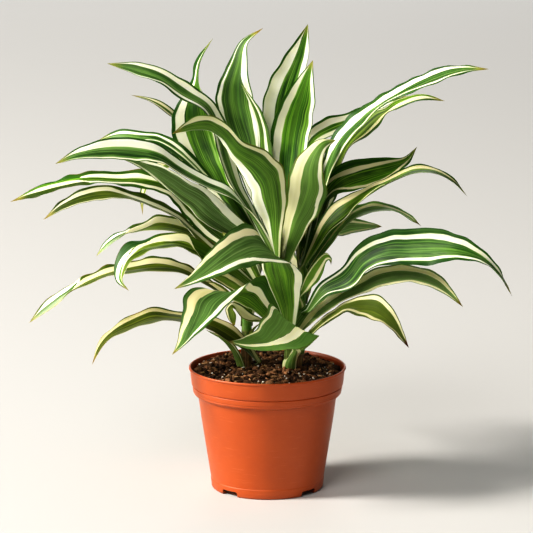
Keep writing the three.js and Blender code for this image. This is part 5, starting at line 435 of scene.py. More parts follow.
# Tone (-1 cool, a painted bluish sheen .. 0 fresh .. 1 olive, the leaf's own olive partly deepened as painted warm
# shade), dry tip, dry margin, wave of the margin in millimetres, brightness (painted light and shade: above 1 lifts
# leaves that lie in shadow, below 1 darkens strongly lit ones), creaminess of the two pale bands (partly their own
# cream, partly painted shade), calmness of the streaks.
TRAITS = {
    "leaf_01": [-0.6, 0.3, 0, 0.5, 1.0, 0, 0.25, 0.05], "leaf_02": [-0.6, 0.2, 0, 0.4, 1.0, 0.15, 0.15, 0.0], "leaf_03": [-1.0, 0.1, 0.1, 0.35, 0.95, 0.1, 0.05, 0.15],
    "leaf_04": [0.4, 0.5, 0.3, 0.9, 1.0, 0.2, 0.3, 0], "leaf_05": [0.8, 0.5, 0.1, 0.7, 0.85, 0.35, 0.35, 0.1], "leaf_06": [0.6, 0.5, 0.2, 0.4, 1.0, 0.6, 0.6, 0.0],
    "leaf_07": [0.9, 0.3, 0.5, 0.8, 1.05, 0.65, 0.65, 0.15], "leaf_08": [0.75, 0.4, 0.1, 0.8, 1.1, 0.5, 0.5, 0.0], "leaf_09": [0.8, 0.3, 0.2, 0.7, 1.5, 0.55, 0.55, 0.2],
    "leaf_10": [0.5, 0.2, 0, 0.3, 1.1, 0.53, 0.53, 0.0], "leaf_11": [1.0, 0.7, 0.6, 0.6, 0.85, 0.8, 0.75, 0.1], "leaf_12": [0.5, 0.8, 0.5, 0.1, 0.9, 0.53, 0.53, 0.0],
    "leaf_13": [0.8, 0.4, 0.7, 0.2, 1.4, 0.6, 0.6, 0.3], "leaf_14": [0.8, 0.8, 0.9, 0.2, 1.3, 0.8, 0.8, 0.3], "leaf_15": [0.5, 0.3, 0.1, 0.3, 1.15, 0.7, 0.7, 0.2],
    "leaf_16": [-0.6, 0.2, 0, 0.5, 0.9, 0.1, 0.0, 0.2], "leaf_17": [-0.1, 0.5, 0.2, 0.7, 1.0, 0.05, 0.45, 0.15], "leaf_18": [0, 0.2, 0, 0.7, 0.84, 0.15, 0.15, 0.0],
    "leaf_19": [-0.3, 0.6, 0, 0.8, 0.78, 0, 0.05, 0.25], "leaf_20": [0, 0.1, 0, 0.4, 0.75, 0.05, 0.1, 0.15], "leaf_21": [-0.2, 0.2, 0, 0.5, 1.0, 0, 0.05, 0.0],
    "leaf_22": [0, 0.3, 0, 0.6, 0.95, 0.1, 0.1, 0], "leaf_23": [-0.3, 0.2, 0.3, 0.5, 0.98, 0.5, 0.3, 0.5], "leaf_24": [-0.6, 0.45, 0, 0.8, 1.0, 0.3, 0.05, 0.1],
    "leaf_25": [0.6, 0.4, 0, 0.5, 1.0, 0.6, 0.6, 0.0], "leaf_26": [0.1, 0.4, 0, 0.4, 1.0, 0.23, 0.23, 0.0], "leaf_27": [0.2, 0.3, 0, 0.6, 1.05, 0.6, 0.6, 0.1],
    "leaf_28": [0.45, 0.3, 0.1, 0.5, 0.95, 0.5, 0.7, 0.0], "leaf_29": [-0.8, 0.7, 0.2, 0.5, 2.7, 0.5, 0.6, 0.55], "leaf_30": [-0.8, 0.5, 0.3, 0.5, 2.7, 0.6, 0.65, 0.55],
    "leaf_31": [0.3, 0.9, 0.3, 0.3, 1.8, 0.6, 0.6, 0.9], "leaf_32": [-0.45, 0.4, 0, 0.8, 0.82, 0.05, 0.1, 0.0], "leaf_33": [-0.9, 0.6, 0.1, 0.7, 2.0, 0.6, 0.65, 0.7],
    "leaf_34": [0.9, 1, 0.1, 0.5, 0.9, 0.6, 0.5, 0.5], "leaf_35": [-0.6, 0.7, 0.1, 0.06, 1.7, 0.5, 0.5, 0.75], "leaf_36": [-0.7, 0.5, 0.1, 0.25, 0.95, 0.75, 0.1, 0.3],
    "leaf_37": [-0.7, 0.3, 0, 0.4, 1.05, 0.6, 0.2, 0.5], "leaf_38": [0.6, 0.5, 0.1, 0.3, 1.1, 0.6, 0.6, 0.0], "leaf_39": [0.5, 0.3, 0, 0.3, 1.1, 0.35, 0.35, 0],
    "leaf_40": [0.04, 0.39, 0.3, 0.83, 1.0, 0.18, 0.18, 0.0], "leaf_41": [0.28, 0.43, 0.29, 0.57, 1.0, 0.36, 0.36, 0.0], "leaf_42": [-0.05, 0.41, 0.25, 0.52, 1.0, 0.15, 0.15, 0.0],
    "leaf_43": [-0.03, 0.54, 0.0, 0.66, 1.0, 0.15, 0.15, 0.0], "leaf_44": [0.37, 0.25, 0.33, 0.76, 1.0, 0.43, 0.43, 0.0], "leaf_45": [0.23, 0.08, 0.25, 0.86, 1.0, 0.32, 0.32, 0.0],
    "leaf_46": [0.09, 0.19, 0.39, 0.7, 1.0, 0.22, 0.22, 0.0], "leaf_47": [0.35, 0.15, 0.11, 0.56, 1.0, 0.41, 0.41, 0.0], "leaf_48": [0.01, 0.32, 0.19, 0.64, 1.0, 0.16, 0.16, 0.0],
    "leaf_49": [0.3, 0.38, 0.19, 0.86, 1.0, 0.37, 0.37, 0.0],
}

# ---- camera: the photograph's viewing angle ---------------------------------
PITCH = math.radians(11.6)
cam_data = bpy.data.cameras.new("camera")
cam = bpy.data.objects.new("camera", cam_data)
bpy.context.scene.collection.objects.link(cam)
cam.location = (-0.00069, -2.438 * math.cos(PITCH), 0.1718 + 2.438 * math.sin(PITCH))
cam.rotation_euler = (math.pi / 2 - PITCH, 0, 0)
cam_data.sensor_fit = "HORIZONTAL"
cam_data.sensor_width = 36
cam_data.lens = 3207 / 533 * 36
cam_data.clip_start = 0.05
cam_data.clip_end = 60
bpy.context.scene.camera = cam


# ---- helpers: node graphs ---------------------------------------------------
class Graph:
    """Short calls for building a material's nodes."""

    def __init__(self, name):
        self.mat = bpy.data.materials.new(name)
        self.mat.use_nodes = True
        self.nt = self.mat.node_tree
        self.nt.nodes.clear()
        self.out = self.nt.nodes.new("ShaderNodeOutputMaterial")
        self.bsdf = self.nt.nodes.new("ShaderNodeBsdfPrincipled")
        self.nt.links.new(self.bsdf.outputs[0], self.out.inputs[0])

    def put(self, socket, value):
        if isinstance(value, bpy.types.NodeSocket):
            self.nt.links.new(value, socket)
        elif value is not None:
            if hasattr(socket.default_value, "__len__") and not hasattr(value, "__len__"):
                value = [value] * len(socket.default_value)
            if hasattr(value, "__len__") and len(value) == 3 and len(socket.default_value) == 4:
                value = (*value, 1.0)
            socket.default_value = value

    def attr(self, name, out="Fac"):
        n = self.nt.nodes.new("ShaderNodeAttribute")
        n.attribute_name = name
        return n.outputs[out]

    def math(self, op, a, b=None, c=None, clamp=False):
        n = self.nt.nodes.new("ShaderNodeMath")
        n.operation = op
        n.use_clamp = clamp
        for i, v in enumerate((a, b, c)):
            if v is not None:
                self.put(n.inputs[i], v)
        return n.outputs[0]

    def xyz(self, x, y, z):
        n = self.nt.nodes.new("ShaderNodeCombineXYZ")
        for i, v in enumerate((x, y, z)):
            self.put(n.inputs[i], v)
        return n.outputs[0]

    def split(self, v):
        n = self.nt.nodes.new("ShaderNodeSeparateXYZ")
        self.put(n.inputs[0], v)
        return n.outputs

    def noise(self, vec, scale, detail=2.0, rough=0.5, out=0, distortion=0.0):
        n = self.nt.nodes.new("ShaderNodeTexNoise")
        n.noise_dimensions = "3D"
        self.put(n.inputs["Vector"], vec)
        self.put(n.inputs["Scale"], scale)
        self.put(n.inputs["Detail"], detail)
        self.put(n.inputs["Roughness"], rough)
        self.put(n.inputs["Distortion"], distortion)
        return n.outputs[out]

    def voronoi(self, vec, scale, out="Distance"):
        n = self.nt.nodes.new("ShaderNodeTexVoronoi")
        self.put(n.inputs["Vector"], vec)
        self.put(n.inputs["Scale"], scale)
        return n.outputs[out]

    def step(self, x, lo, hi, a=0.0, b=1.0):
        """Smooth step of x from lo to hi, giving a to b."""
        n = self.nt.nodes.new("ShaderNodeMapRange")
        n.interpolation_type = "SMOOTHSTEP"
        for key, v in (("Value", x), ("From Min", lo), ("From Max", hi), ("To Min", a), ("To Max", b)):
            self.put(n.inputs[key], v)
        return n.outputs[0]

    def mix(self, fac, a, b, blend="MIX"):
        n = self.nt.nodes.new("ShaderNodeMix")
        n.data_type = "RGBA"
        n.blend_type = blend
        self.put(n.inputs[0], fac)
        self.put(n.inputs[6], a)
        self.put(n.inputs[7], b)
        return n.outputs[2]

    def mixf(self, fac, a, b):
        n = self.nt.nodes.new("ShaderNodeMix")
        n.data_type = "FLOAT"
        self.put(n.inputs[0], fac)
        self.put(n.inputs[2], a)
        self.put(n.inputs[3], b)
        return n.outputs[0]

    def coords(self):
        return self.nt.nodes.new("ShaderNodeTexCoord").outputs["Object"]

    def scaled(self, vec, s):
        n = self.nt.nodes.new("ShaderNodeVectorMath")
        n.operation = "MULTIPLY"
        self.put(n.inputs[0], vec)
        n.inputs[1].default_value = s
        return n.outputs[0]

    def bump(self, height, strength, distance, normal=None):
        n = self.nt.nodes.new("ShaderNodeBump")
        n.inputs["Strength"].default_value = strength
        n.inputs["Distance"].default_value = distance
        self.put(n.inputs["Height"], height)
        if normal is not None:
            self.put(n.inputs["Normal"], normal)
        return n.outputs[0]

    def set(self, **values):
        for key, v in values.items():
            self.put(self.bsdf.inputs[key.replace("_", " ")], v)
        return self.mat


def srgb(r, g, b):
    """Linear colour of an sRGB colour given as 0 .. 255."""
    return tuple(((c / 255) / 12.92 if c <= 10 else ((c / 255 + 0.055) / 1.055) ** 2.4) for c in (r, g, b))


# ---- helpers: meshes --------------------------------------------------------
def make_mesh(name, verts, faces, material, smooth=True):
    me = bpy.data.meshes.new(name)
    me.from_pydata([tuple(map(float, v)) for v in verts], [], faces)
    me.update()
    me.materials.append(material)
    if smooth:
        me.shade_smooth()
    ob = bpy.data.objects.new(name, me)
    bpy.context.scene.collection.objects.link(ob)
    return ob


def add_attr(me, name, values, kind="FLOAT"):
    a = me.attributes.new(name, kind, "POINT")
    values = np.asarray(values, np.float32)
    a.data.foreach_set("vector" if kind == "FLOAT_VECTOR" else "value", values.ravel())


def catmull(rows, u):
    """Catmull-Rom interpolation of rows at the positions u (0 .. rows-1)."""
    rows = np.asarray(rows, float)
    n = len(rows)
    u = np.clip(np.asarray(u, float), 0, n - 1 - 1e-9)
    i = np.floor(u).astype(int)
    f = (u - i)[:, None]
    ext = np.vstack([2 * rows[0] - rows[1], rows, 2 * rows[-1] - rows[-2]])
    a, b, c, d = ext[i], ext[i + 1], ext[i + 2], ext[i + 3]
    return 0.5 * (2 * b + (c - a) * f + (2 * a - 5 * b + 4 * c - d) * f ** 2 + (3 * b - a - 3 * c + d) * f ** 3)


def unit(v):
    return v / np.maximum(np.linalg.norm(v, axis=-1, keepdims=True), 1e-12)


def ease(x, lo, hi):
    t = np.clip((np.asarray(x, float) - lo) / (hi - lo), 0, 1)
    return t * t * (3 - 2 * t)


def wander(rng, n, period, count=4):
    """A smooth seeded wave along n samples, about -1 .. 1, with the given period in samples."""
    t = np.arange(n)
    total = np.zeros(n)
    for k in range(count):
        p = period * rng.uniform(0.55, 1.6)
        total += rng.uniform(0.5, 1.0) * np.sin(2 * np.pi * t / p + rng.uniform(0, 2 * np.pi))
    return total / count


# ---- leaves -----------------------------------------------------------------
def leaf_material():
    g = Graph("leaf_blade")
    place = g.split(g.attr("leaf_place", "Vector"))     # along (m), across (m), seed
    shape = g.split(g.attr("leaf_shape", "Vector"))     # lu 0..1, lv -1..1, half width (m)
    bands = g.split(g.attr("leaf_bands", "Vector"))     # a1, a2, a3
    more = g.split(g.attr("leaf_more", "Vector"))       # a4, tone, underside
    dry = g.split(g.attr("leaf_dry", "Vector"))         # tip, edge, base
    s, w, seed = place[0], place[1], place[2]
    lu, lv, half = shape[0], shape[1], shape[2]
    tone, under = more[1], more[2]

    # long thin streaks that follow the blade
    painted_light_and_cream = g.split(g.attr("leaf_painted_light_cream_calm", "Vector"))      # brightness, creaminess of band 1 and 2
    lift, calm = painted_light_and_cream[0], g.attr("leaf_painted_light_cream_calm", "Alpha")

    def streak(across, along, detail=2.0, rough=0.55, shift=0.0):
        v = g.xyz(g.math("MULTIPLY", s, along), g.math("MULTIPLY_ADD", w, across, shift), g.math("MULTIPLY", seed, 7.3))
        return g.noise(v, 1.0, detail, rough)

    fine = streak(1300, 20, 3.0, 0.6)
    mid = streak(480, 9, 2.0, 0.5, 31.0)
    broad = streak(170, 8, 1.0, 0.5, 77.0)
    wavy = streak(60, 45, 2.0, 0.5, 11.0)

    # where the pale bands are; their edges feather along the streaks
    soft = g.math("DIVIDE", 0.00020, g.math("MAXIMUM", half, 0.0012))
    jitter = g.math("ADD", g.math("MULTIPLY", g.math("SUBTRACT", fine, 0.5), 0.10),
                    g.math("MULTIPLY", g.math("SUBTRACT", wavy, 0.5), 0.10))
    v = g.math("ADD", lv, jitter)

    def band(a, b):
        up = g.step(g.math("DIVIDE", g.math("SUBTRACT", v, a), soft), -1.0, 1.0)
        down = g.step(g.math("DIVIDE", g.math("SUBTRACT", b, v), soft), -1.0, 1.0)
        return g.math("MULTIPLY", up, down)

    band_1, band_2 = band(bands[0], bands[1]), band(bands[2], more[0])
    cream = g.math("MAXIMUM", band_1, band_2)
    # thin pale lines in the green, and green lines in the pale bands
    hair = g.step(mid, 0.665, 0.70)
    hair = g.math("MULTIPLY", hair, g.step(broad, 0.42, 0.60))
    thread = g.step(fine, 0.64, 0.72)
    thread = g.math("MULTIPLY", thread, g.step(broad, 0.50, 0.62))

    # greens: cool (a painted bluish sheen) .. fresh .. olive (the leaf's own olive, partly deepened as painted warm
    # shade)
    olive_warm_shade = g.math("MAXIMUM", tone, 0.0)
    cool_sheen = g.math("MAXIMUM", g.math("MULTIPLY", tone, -1.0), 0.0)
    dark = g.mix(cool_sheen, g.mix(olive_warm_shade, srgb(19, 52, 3), srgb(34, 46, 3)), srgb(17, 50, 16))
    green = g.mix(cool_sheen, g.mix(olive_warm_shade, srgb(54, 106, 9), srgb(70, 88, 10)), srgb(50, 94, 36))
    light = g.mix(cool_sheen, g.mix(olive_warm_shade, srgb(134, 182, 58), srgb(130, 138, 46)), srgb(140, 172, 112))
    col = g.mix(g.step(broad, 0.38, 0.60), g.mix(0.55, green, dark), green)
    col = g.mix(g.math("MULTIPLY", g.step(mid, 0.50, 0.66), 0.62), col, light)
    col = g.mix(g.math("MULTIPLY", g.step(mid, 0.34, 0.48, 1.0, 0.0), 0.72), col, dark)
    col = g.mix(g.math("MULTIPLY", g.step(fine, 0.50, 0.66), 0.50), col, light)
    col = g.mix(g.math("MULTIPLY", g.step(fine, 0.34, 0.48, 1.0, 0.0), 0.60), col, dark)
    col = g.mix(g.math("MULTIPLY", hair, 0.34), col, srgb(196, 212, 148))
    # painted glow: the thin middle of the blade is lightened in streaks, standing in for light let through
    painted_glow = g.math("MULTIPLY", g.step(g.math("ABSOLUTE", lv), 0.0, 0.5, 1.0, 0.0), g.step(wavy, 0.40, 0.60))
    col = g.mix(g.math("MULTIPLY", painted_glow, 0.22), col, light)
    # the green next to a pale band is lighter, in loose streaks
    near = g.math("MAXIMUM", g.step(g.math("SUBTRACT", v, bands[1]), 0.0, 0.24, 1.0, 0.0), g.step(g.math("SUBTRACT", bands[2], v), 0.0, 0.20, 1.0, 0.0))
    near = g.math("MULTIPLY", near, g.step(wavy, 0.42, 0.66))
    col = g.mix(g.math("MULTIPLY", near, 0.60), col, light)
    col = g.mix(calm, col, g.mix(cool_sheen, g.mix(olive_warm_shade, srgb(82, 122, 40), srgb(98, 110, 46)), srgb(106, 122, 76)))
    col = g.mix(g.step(calm, 1.1, 1.9), col, g.mix(g.step(mid, 0.40, 0.62), srgb(112, 136, 96), srgb(160, 172, 138)))
    # margins outside the bands are a clearer green with a dark rim
    outside = g.math("MAXIMUM", g.step(v, more[0], g.math("ADD", more[0], 0.05)),
                     g.step(v, g.math("SUBTRACT", bands[0], 0.05), bands[0], 1.0, 0.0))
    rim = g.mix(cool_sheen, g.mix(olive_warm_shade, srgb(30, 88, 5), srgb(46, 74, 6)), srgb(34, 78, 20))
    rim = g.mix(g.step(mid, 0.35, 0.7), g.mix(0.35, rim, dark), rim)
    col = g.mix(g.math("MULTIPLY", outside, g.math("MAXIMUM", g.math("MULTIPLY_ADD", calm, -0.55, 0.8), 0.0)), col, rim)
    edge = g.step(g.math("ABSOLUTE", lv), 0.90, 0.98)
    rim_dark = g.math("MULTIPLY", edge, g.step(wavy, 0.38, 0.60, 0.30, 0.75))
    col = g.mix(rim_dark, col, srgb(18, 50, 5))
    # painted light and shade: the leaf colour is scaled by its brightness, lifting leaves that lie in shadow and
    # darkening strongly lit ones
    col = g.mix(1.0, col, lift, "MULTIPLY")
    # pale bands; their creaminess is partly their own cream, partly painted shade
    band_cream_shade = g.mixf(g.step(g.math("SUBTRACT", band_2, band_1), -0.2, 0.2), painted_light_and_cream[1], painted_light_and_cream[2])
    pale = g.mix(band_cream_shade, srgb(242, 244, 228), srgb(226, 214, 154))
    pale = g.mix(g.step(broad, 0.35, 0.7), pale, g.mix(band_cream_shade, srgb(236, 238, 208), srgb(206, 194, 128)))
    pale = g.mix(g.math("MULTIPLY", thread, 0.38), pale, srgb(182, 202, 120))
    # painted shade: creamier bands are darkened by up to 16 %, and the bands take the painted brightness, held between
    # 0.85 and 1.5
    shade = g.math("MULTIPLY_ADD", band_cream_shade, -0.16, 1.0)
    pale = g.mix(1.0, pale, g.math("MULTIPLY", shade, g.math("MAXIMUM", 0.85, g.math("MINIMUM", lift, 1.5))), "MULTIPLY")
    col = g.mix(cream, col, pale)
    # a fresh pale green towards the sheath, where the blade clasps the cane
    col = g.mix(g.math("MULTIPLY", dry[2], 0.28), col, g.mix(g.step(mid, 0.42, 0.62), srgb(72, 126, 26), srgb(190, 206, 128)))
    # dry tip and dry margin
    tip_noise = g.math("MULTIPLY_ADD", g.math("SUBTRACT", mid, 0.5), 0.06, lu)
    gold = g.math("MULTIPLY", g.step(tip_noise, 0.93, 0.99), g.math("MINIMUM", g.math("MULTIPLY_ADD", dry[0], 1.4, 0.15), 1.0))
    col = g.mix(gold, col, srgb(168, 156, 62))
    brown = g.math("MULTIPLY", g.step(tip_noise, g.math("MULTIPLY_ADD", dry[0], -0.075, 1.0), g.math("MULTIPLY_ADD", dry[0], -0.035, 1.0)), dry[0])
    col = g.mix(brown, col, srgb(78, 34, 16))
    rusty = g.math("MULTIPLY", g.math("MULTIPLY", g.step(g.math("ABSOLUTE", lv), 0.90, 0.985), g.step(wavy, 0.42, 0.58)), dry[1])
    col = g.mix(rusty, col, srgb(164, 110, 40))
    # underside: a little paler and greyer
    col = g.mix(g.math("MULTIPLY", under, 0.16), col, srgb(132, 150, 84))

    rough = g.math("MULTIPLY_ADD", mid, 0.16, 0.42)
    rough = g.math("ADD", rough, g.math("MULTIPLY", under, 0.12))
    height = g.math("ADD", g.math("MULTIPLY", fine, 0.5), g.math("MULTIPLY", mid, 1.0))
    normal = g.bump(height, 0.55, 0.00022)
    g.set(Base_Color=col, Roughness=rough, Normal=normal)
    g.set(Specular_IOR_Level=0.24, Coat_Weight=0.03, Coat_Roughness=0.4)
    g.set(Subsurface_Weight=0.25, Subsurface_Radius=(1.0, 1.1, 0.4), Subsurface_Scale=0.0006)
    return g.mat


LEAF_MAT = leaf_material()
NU, NV = 92, 22       # cells along and across a blade
SHEATH_ROWS = 9


# Blades that turn over near the tip: where the fold crosses the blade's middle (share of
# the length), how it slants, the tone beyond, how far the blade narrows, the bands beyond, the tone beyond on the lower
# half, and the brightness beyond on the lower half (painted light).
FOLDS = {
    "leaf_04": (0.725, -0.03, 0.0, 0.10, [(0.68, -0.4, -0.5, 0.2, 0.6), (0.75, -0.4, -0.5, -0.2, 0.2), (0.8, -0.6, -0.7, -0.36, 0.1),
                                         (0.88, -0.9, -0.95, -0.6, -0.02), (1, -0.9, -0.95, -0.8, -0.2)], 0.95, 1.0),
    "leaf_07": (0.775, 0.06, -0.75, 0.22, [(0.7, -0.98, -0.9, 0.95, 1), (0.75, -0.95, -0.7, 0.95, 1), (0.8, -0.9, -0.3, 0.95, 1),
                                          (0.87, -0.85, -0.2, 0.95, 1), (1, -0.7, -0.1, 0.95, 1)], -1.0, 1.1),
    "leaf_08": (0.80, 0.26, -1.0, 0.0, [(0.6, -0.4, -0.35, 0.95, 1), (0.74, -0.4, -0.15, 0.95, 1), (0.8, -0.5, -0.05, 0.95, 1),
                                        (0.9, -0.72, -0.15, 0.95, 1), (1, -0.7, -0.1, 0.95, 1)], -0.2, 1.0),
    "leaf_09": (0.79, 0.05, -0.75, 0.50, [(0.75, -0.75, -0.3, 0.95, 1), (0.85, -0.75, -0.35, 0.95, 1), (0.93, -0.8, -0.4, 0.95, 1),
                                         (1, -0.7, -0.3, 0.95, 1)], -1.0, 1.1),
    "leaf_25": (0.73, 0.0, 0.3, 0.55, [(0.72, -0.5, 0.1, 0.9, 0.95), (0.8, -0.45, 0.45, 0.9, 0.95), (0.9, -0.3, 0.6, 0.93, 0.97),
                                       (1, -0.2, 0.6, 0.93, 0.97)], 0.3, 1.0),
}

# Blades that are fresher towards the foot: up to which share of the length, tone, brightness (painted light),
# creaminess.
FEET = {"leaf_37": (0.33, 0.15, 1.3, 0.25), "leaf_36": (0.41, 0.1, 1.35, 0.2)}


def cane_axis(key, z):
    q = np.array(CANES[key], float)
    return np.array([np.interp(z, q[:, 2], q[:, 0]), np.interp(z, q[:, 2], q[:, 1])])


def cane_radius(key, z):
    q = np.array(CANES[key], float)
    share = np.clip((z - q[0, 2]) / (q[-1, 2] - q[0, 2]), 0, 1)
    return 4.4 - 1.5 * max(0.0, (share - 0.25) / 0.75)


def leaf_piece(name, rows, key, bands, traits):
    number = int(name[-2:])
    rng = np.random.default_rng(1000 + number)
    rows = np.asarray(rows, float)
    # blade rows, closer together near the tip
    share = np.linspace(0, 1, NU) ** 0.97
    u = share * (len(rows) - 1) * 0.9985
    q = catmull(rows, u)
    M, H, c = q[:, :3], q[:, 3:6], q[:, 6]
    T = unit(np.gradient(M, axis=0))
    N = unit(np.cross(T, H))
    width = np.linalg.norm(H, axis=1)
    dist = np.r_[0, np.cumsum(np.linalg.norm(np.diff(M, axis=0), axis=1))]
    length = dist[-1]
    v = np.linspace(-1, 1, NV + 1)
    v = np.sign(v) * (1 - (1 - np.abs(v)) ** 1.12)       # a little finer at the margins
    # cross-section: a channel with a soft crease, gentle pleats, wavy margins
    channel = 0.78 * (v ** 2 - 1) + 0.22 * (np.sqrt(v ** 2 + 0.01) - math.sqrt(1.01))
    step_mm = length / NU
    wave_l = wander(rng, NU, 27 / step_mm) * traits[3] * 2.1
    wave_r = wander(rng, NU, 24 / step_mm) * traits[3] * 2.1
    frill_l = 1 + 0.075 * wander(rng, NU, 22 / step_mm)
    frill_r = 1 + 0.075 * wander(rng, NU, 20 / step_mm)
    fade = ease(share, 0.08, 0.3) * (1 - ease(share, 0.9, 1.0))
    fold = FOLDS.get(name)
    if fold:
        waist = 1 - fold[3] * np.exp(-((share - fold[0]) / 0.035) ** 2)
        H = H * waist[:, None]
        width = width * waist
    margin = np.abs(v) ** 3
    wave = np.where(v[None] < 0, wave_l[:, None], wave_r[:, None]) * margin[None] * fade[:, None]
    p1, p2 = rng.uniform(0, 6.28, 2)
    pleat = (0.20 * np.sin(5.2 * v + p1)[None] + 0.12 * np.sin(9.1 * v + p2)[None]
             * (1 + 0.4 * np.sin(dist / 40 + p1))[:, None]) * (1 - v ** 4)[None] * (width / 12)[:, None] * fade[:, None]
    lift = channel[None] * c[:, None] + wave + pleat
    frill = 1 + (np.where(v[None] < 0, frill_l[:, None], frill_r[:, None]) - 1) * fade[:, None]
    mid = M[:, None] + (v[None] * frill)[..., None] * H[:, None] + lift[..., None] * N[:, None]
    # sheath rows below the base: the blade curls round its cane
    z0 = M[0, 2]
    ax0 = cane_axis(key, z0)
    out = M[0, :2] - ax0
    phi = math.atan2(out[1], out[0])
    e_phi = np.array([-math.sin(phi), math.cos(phi), 0.0])
    turn = 1.0 if H[0] @ e_phi >= 0 else -1.0
    drop = float(np.clip(7 + 0.5 * np.linalg.norm(out), 8, 13))
    drop = {"leaf_11": 7.0, "leaf_12": 5.0, "leaf_35": 17.0}.get(name, drop)
    sheath = []
    for k in range(SHEATH_ROWS, 0, -1):
        t = k / SHEATH_ROWS
        z = z0 - drop * t
        axis = cane_axis(key, z)
        radius = cane_radius(key, z) + 0.55 + 0.035 * (number % 9) + 0.3 * (1 - t)
        wrap = min(1.25 * np.linalg.norm(H[0]) / radius, 2.6) * (0.9 + 0.25 * t)
        angle = phi + turn * wrap * v
        arc = np.stack([axis[0] + radius * np.cos(angle), axis[1] + radius * np.sin(angle), np.full(len(v), z) + 1.6 * v ** 2 * t], 1)
        straight = mid[0] - T[0] * drop * t * 0.8
        sheath.append(straight + (arc - straight) * ease(t, 0.0, 0.8))
    mid = np.concatenate([np.array(sheath), mid])
    lu = np.r_[np.zeros(SHEATH_ROWS), share]
    base = np.r_[np.ones(SHEATH_ROWS), 1 - ease(share, 0.0, 0.16)]
    along = np.r_[-drop * np.arange(SHEATH_ROWS, 0, -1) / SHEATH_ROWS, dist]
    half = np.r_[np.full(SHEATH_ROWS, width[0]), np.maximum(width, 0.35)]
    # thickness from a mean normal of the finished surface
    du = np.gradient(mid, axis=0)
    dv = np.gradient(mid, axis=1)
    nrm = unit(np.cross(du, dv))
    thick = np.minimum(0.52, 0.22 * half)[:, None] * (0.24 + 0.76 * (1 - v ** 2))[None] / 2
    top = mid + nrm * thick[..., None]
    low = mid - nrm * thick[..., None]
    R, C = top.shape[:2]
    verts, index_top, index_low = [], np.zeros((R, C), int), np.zeros((R, C), int)
    info = []
    count = 0
    for i in range(R):
        for j in range(C):
            if 0 < j < C - 1:
                verts.append(top[i, j])
            else:
                verts.append(mid[i, j])
            info.append((i, j, 0.0))
            index_top[i, j] = count
            count += 1
    for i in range(R):
        for j in range(C):
            if 0 < j < C - 1:
                verts.append(low[i, j])
                info.append((i, j, 1.0))
                index_low[i, j] = count
                count += 1
            else:
                index_low[i, j] = index_top[i, j]
    tip = count
    verts.append(M[-1] + T[-1] * 0.5)
    info.append((R - 1, C // 2, 0.0))
    faces = []
    for i in range(R - 1):
        for j in range(C - 1):
            a, b, d, e = index_top[i, j], index_top[i, j + 1], index_top[i + 1, j + 1], index_top[i + 1, j]
            faces.append((a, e, d, b))
            a, b, d, e = index_low[i, j], index_low[i, j + 1], index_low[i + 1, j + 1], index_low[i + 1, j]
            faces.append((a, b, d, e))
    for j in range(C - 1):
        faces.append((index_top[-1, j], tip, index_top[-1, j + 1]))
        faces.append((index_low[-1, j], index_low[-1, j + 1], tip))
        if j == 0:
            faces.append((index_top[0, 0], index_top[0, 1], index_low[0, 1]))
        elif j == C - 2:
            faces.append((index_top[0, j], index_top[0, j + 1], index_low[0, j]))
        else:
            faces.append((index_top[0, j], index_top[0, j + 1], index_low[0, j + 1], index_low[0, j]))
    verts = np.array(verts) * MM
    faces = [tuple(int(x) for x in f) for f in faces]
    ob = make_mesh(name + "_blade", verts, faces, LEAF_MAT)
    me = ob.data
    bm = bmesh.new()
    bm.from_mesh(me)
    bmesh.ops.recalc_face_normals(bm, faces=bm.faces)
    bm.to_mesh(me)
    bm.free()
    # the two sides meet in a crisp line at the margins
    ends = np.zeros(len(me.edges) * 2, np.int32)
    me.edges.foreach_get("vertices", ends)
    ends = np.sort(ends.reshape(-1, 2), axis=1)
    flags = np.zeros(len(me.edges), bool)
    for j in (0, C - 1):
        line = np.sort(np.stack([index_top[:-1, j], index_top[1:, j]], 1), axis=1)
        flags |= np.isin(ends[:, 0] * 100000 + ends[:, 1], line[:, 0] * 100000 + line[:, 1])
    attribute = me.attributes.new("sharp_edge", "BOOLEAN", "EDGE")
    attribute.data.foreach_set("value", flags)
    # where each vertex is on the leaf
    info = np.array(info)
    i, j, under = info[:, 0].astype(int), info[:, 1].astype(int), info[:, 2]
    ku = [b[0] for b in bands]
    lanes = [np.interp(lu, ku, [b[k] for b in bands]) for k in (1, 2, 3, 4)]
    for lane in lanes:
        for _ in range(3):
            lane[1:-1] = (lane[:-2] + 2 * lane[1:-1] + lane[2:]) / 4
    vv = v[j]
    lanes = [lane[i] for lane in lanes]
    tone = np.full(len(i), traits[0])
    # brightness is painted light and shade; creaminess is partly the bands' own cream, partly painted shade
    lift, cream_shade_1, cream_shade_2, calm = [np.full(len(i), traits[k]) for k in (4, 5, 6, 7)]
    if fold:
        beyond = ease(lu[i] - fold[0] - fold[1] * vv, -0.006, 0.006)
        far = [np.interp(lu[i], [b[0] for b in fold[4]], [b[k] for b in fold[4]]) for k in (1, 2, 3, 4)]
        lanes = [a + (b - a) * beyond for a, b in zip(lanes, far)]
        lower = ease(vv, -0.15, 0.05)
        tone = tone + (fold[2] + (fold[5] - fold[2]) * lower - tone) * beyond
        # painted light: beyond the fold the lower half takes the fold's brightness
        lift = lift * (1 + (fold[6] - 1) * lower * beyond)
        cream_shade_1 = cream_shade_1 * (1 - beyond * (0.2 if name == "leaf_25" else 1.0))
        calm = calm + ((2.0 if fold[6] > 1.0 else calm) - calm) * beyond * lower
    foot = FEET.get(name)
    if foot:
        near = 1 - ease(lu[i], foot[0] - 0.03, foot[0] + 0.03)
        tone = tone + (foot[1] - tone) * near
        # painted light: the foot takes its own brightness
        lift = lift + (foot[2] - lift) * near
        cream_shade_1, cream_shade_2 = cream_shade_1 + (foot[3] - cream_shade_1) * near, cream_shade_2 + (foot[3] - cream_shade_2) * near
        calm = calm * (1 - near)
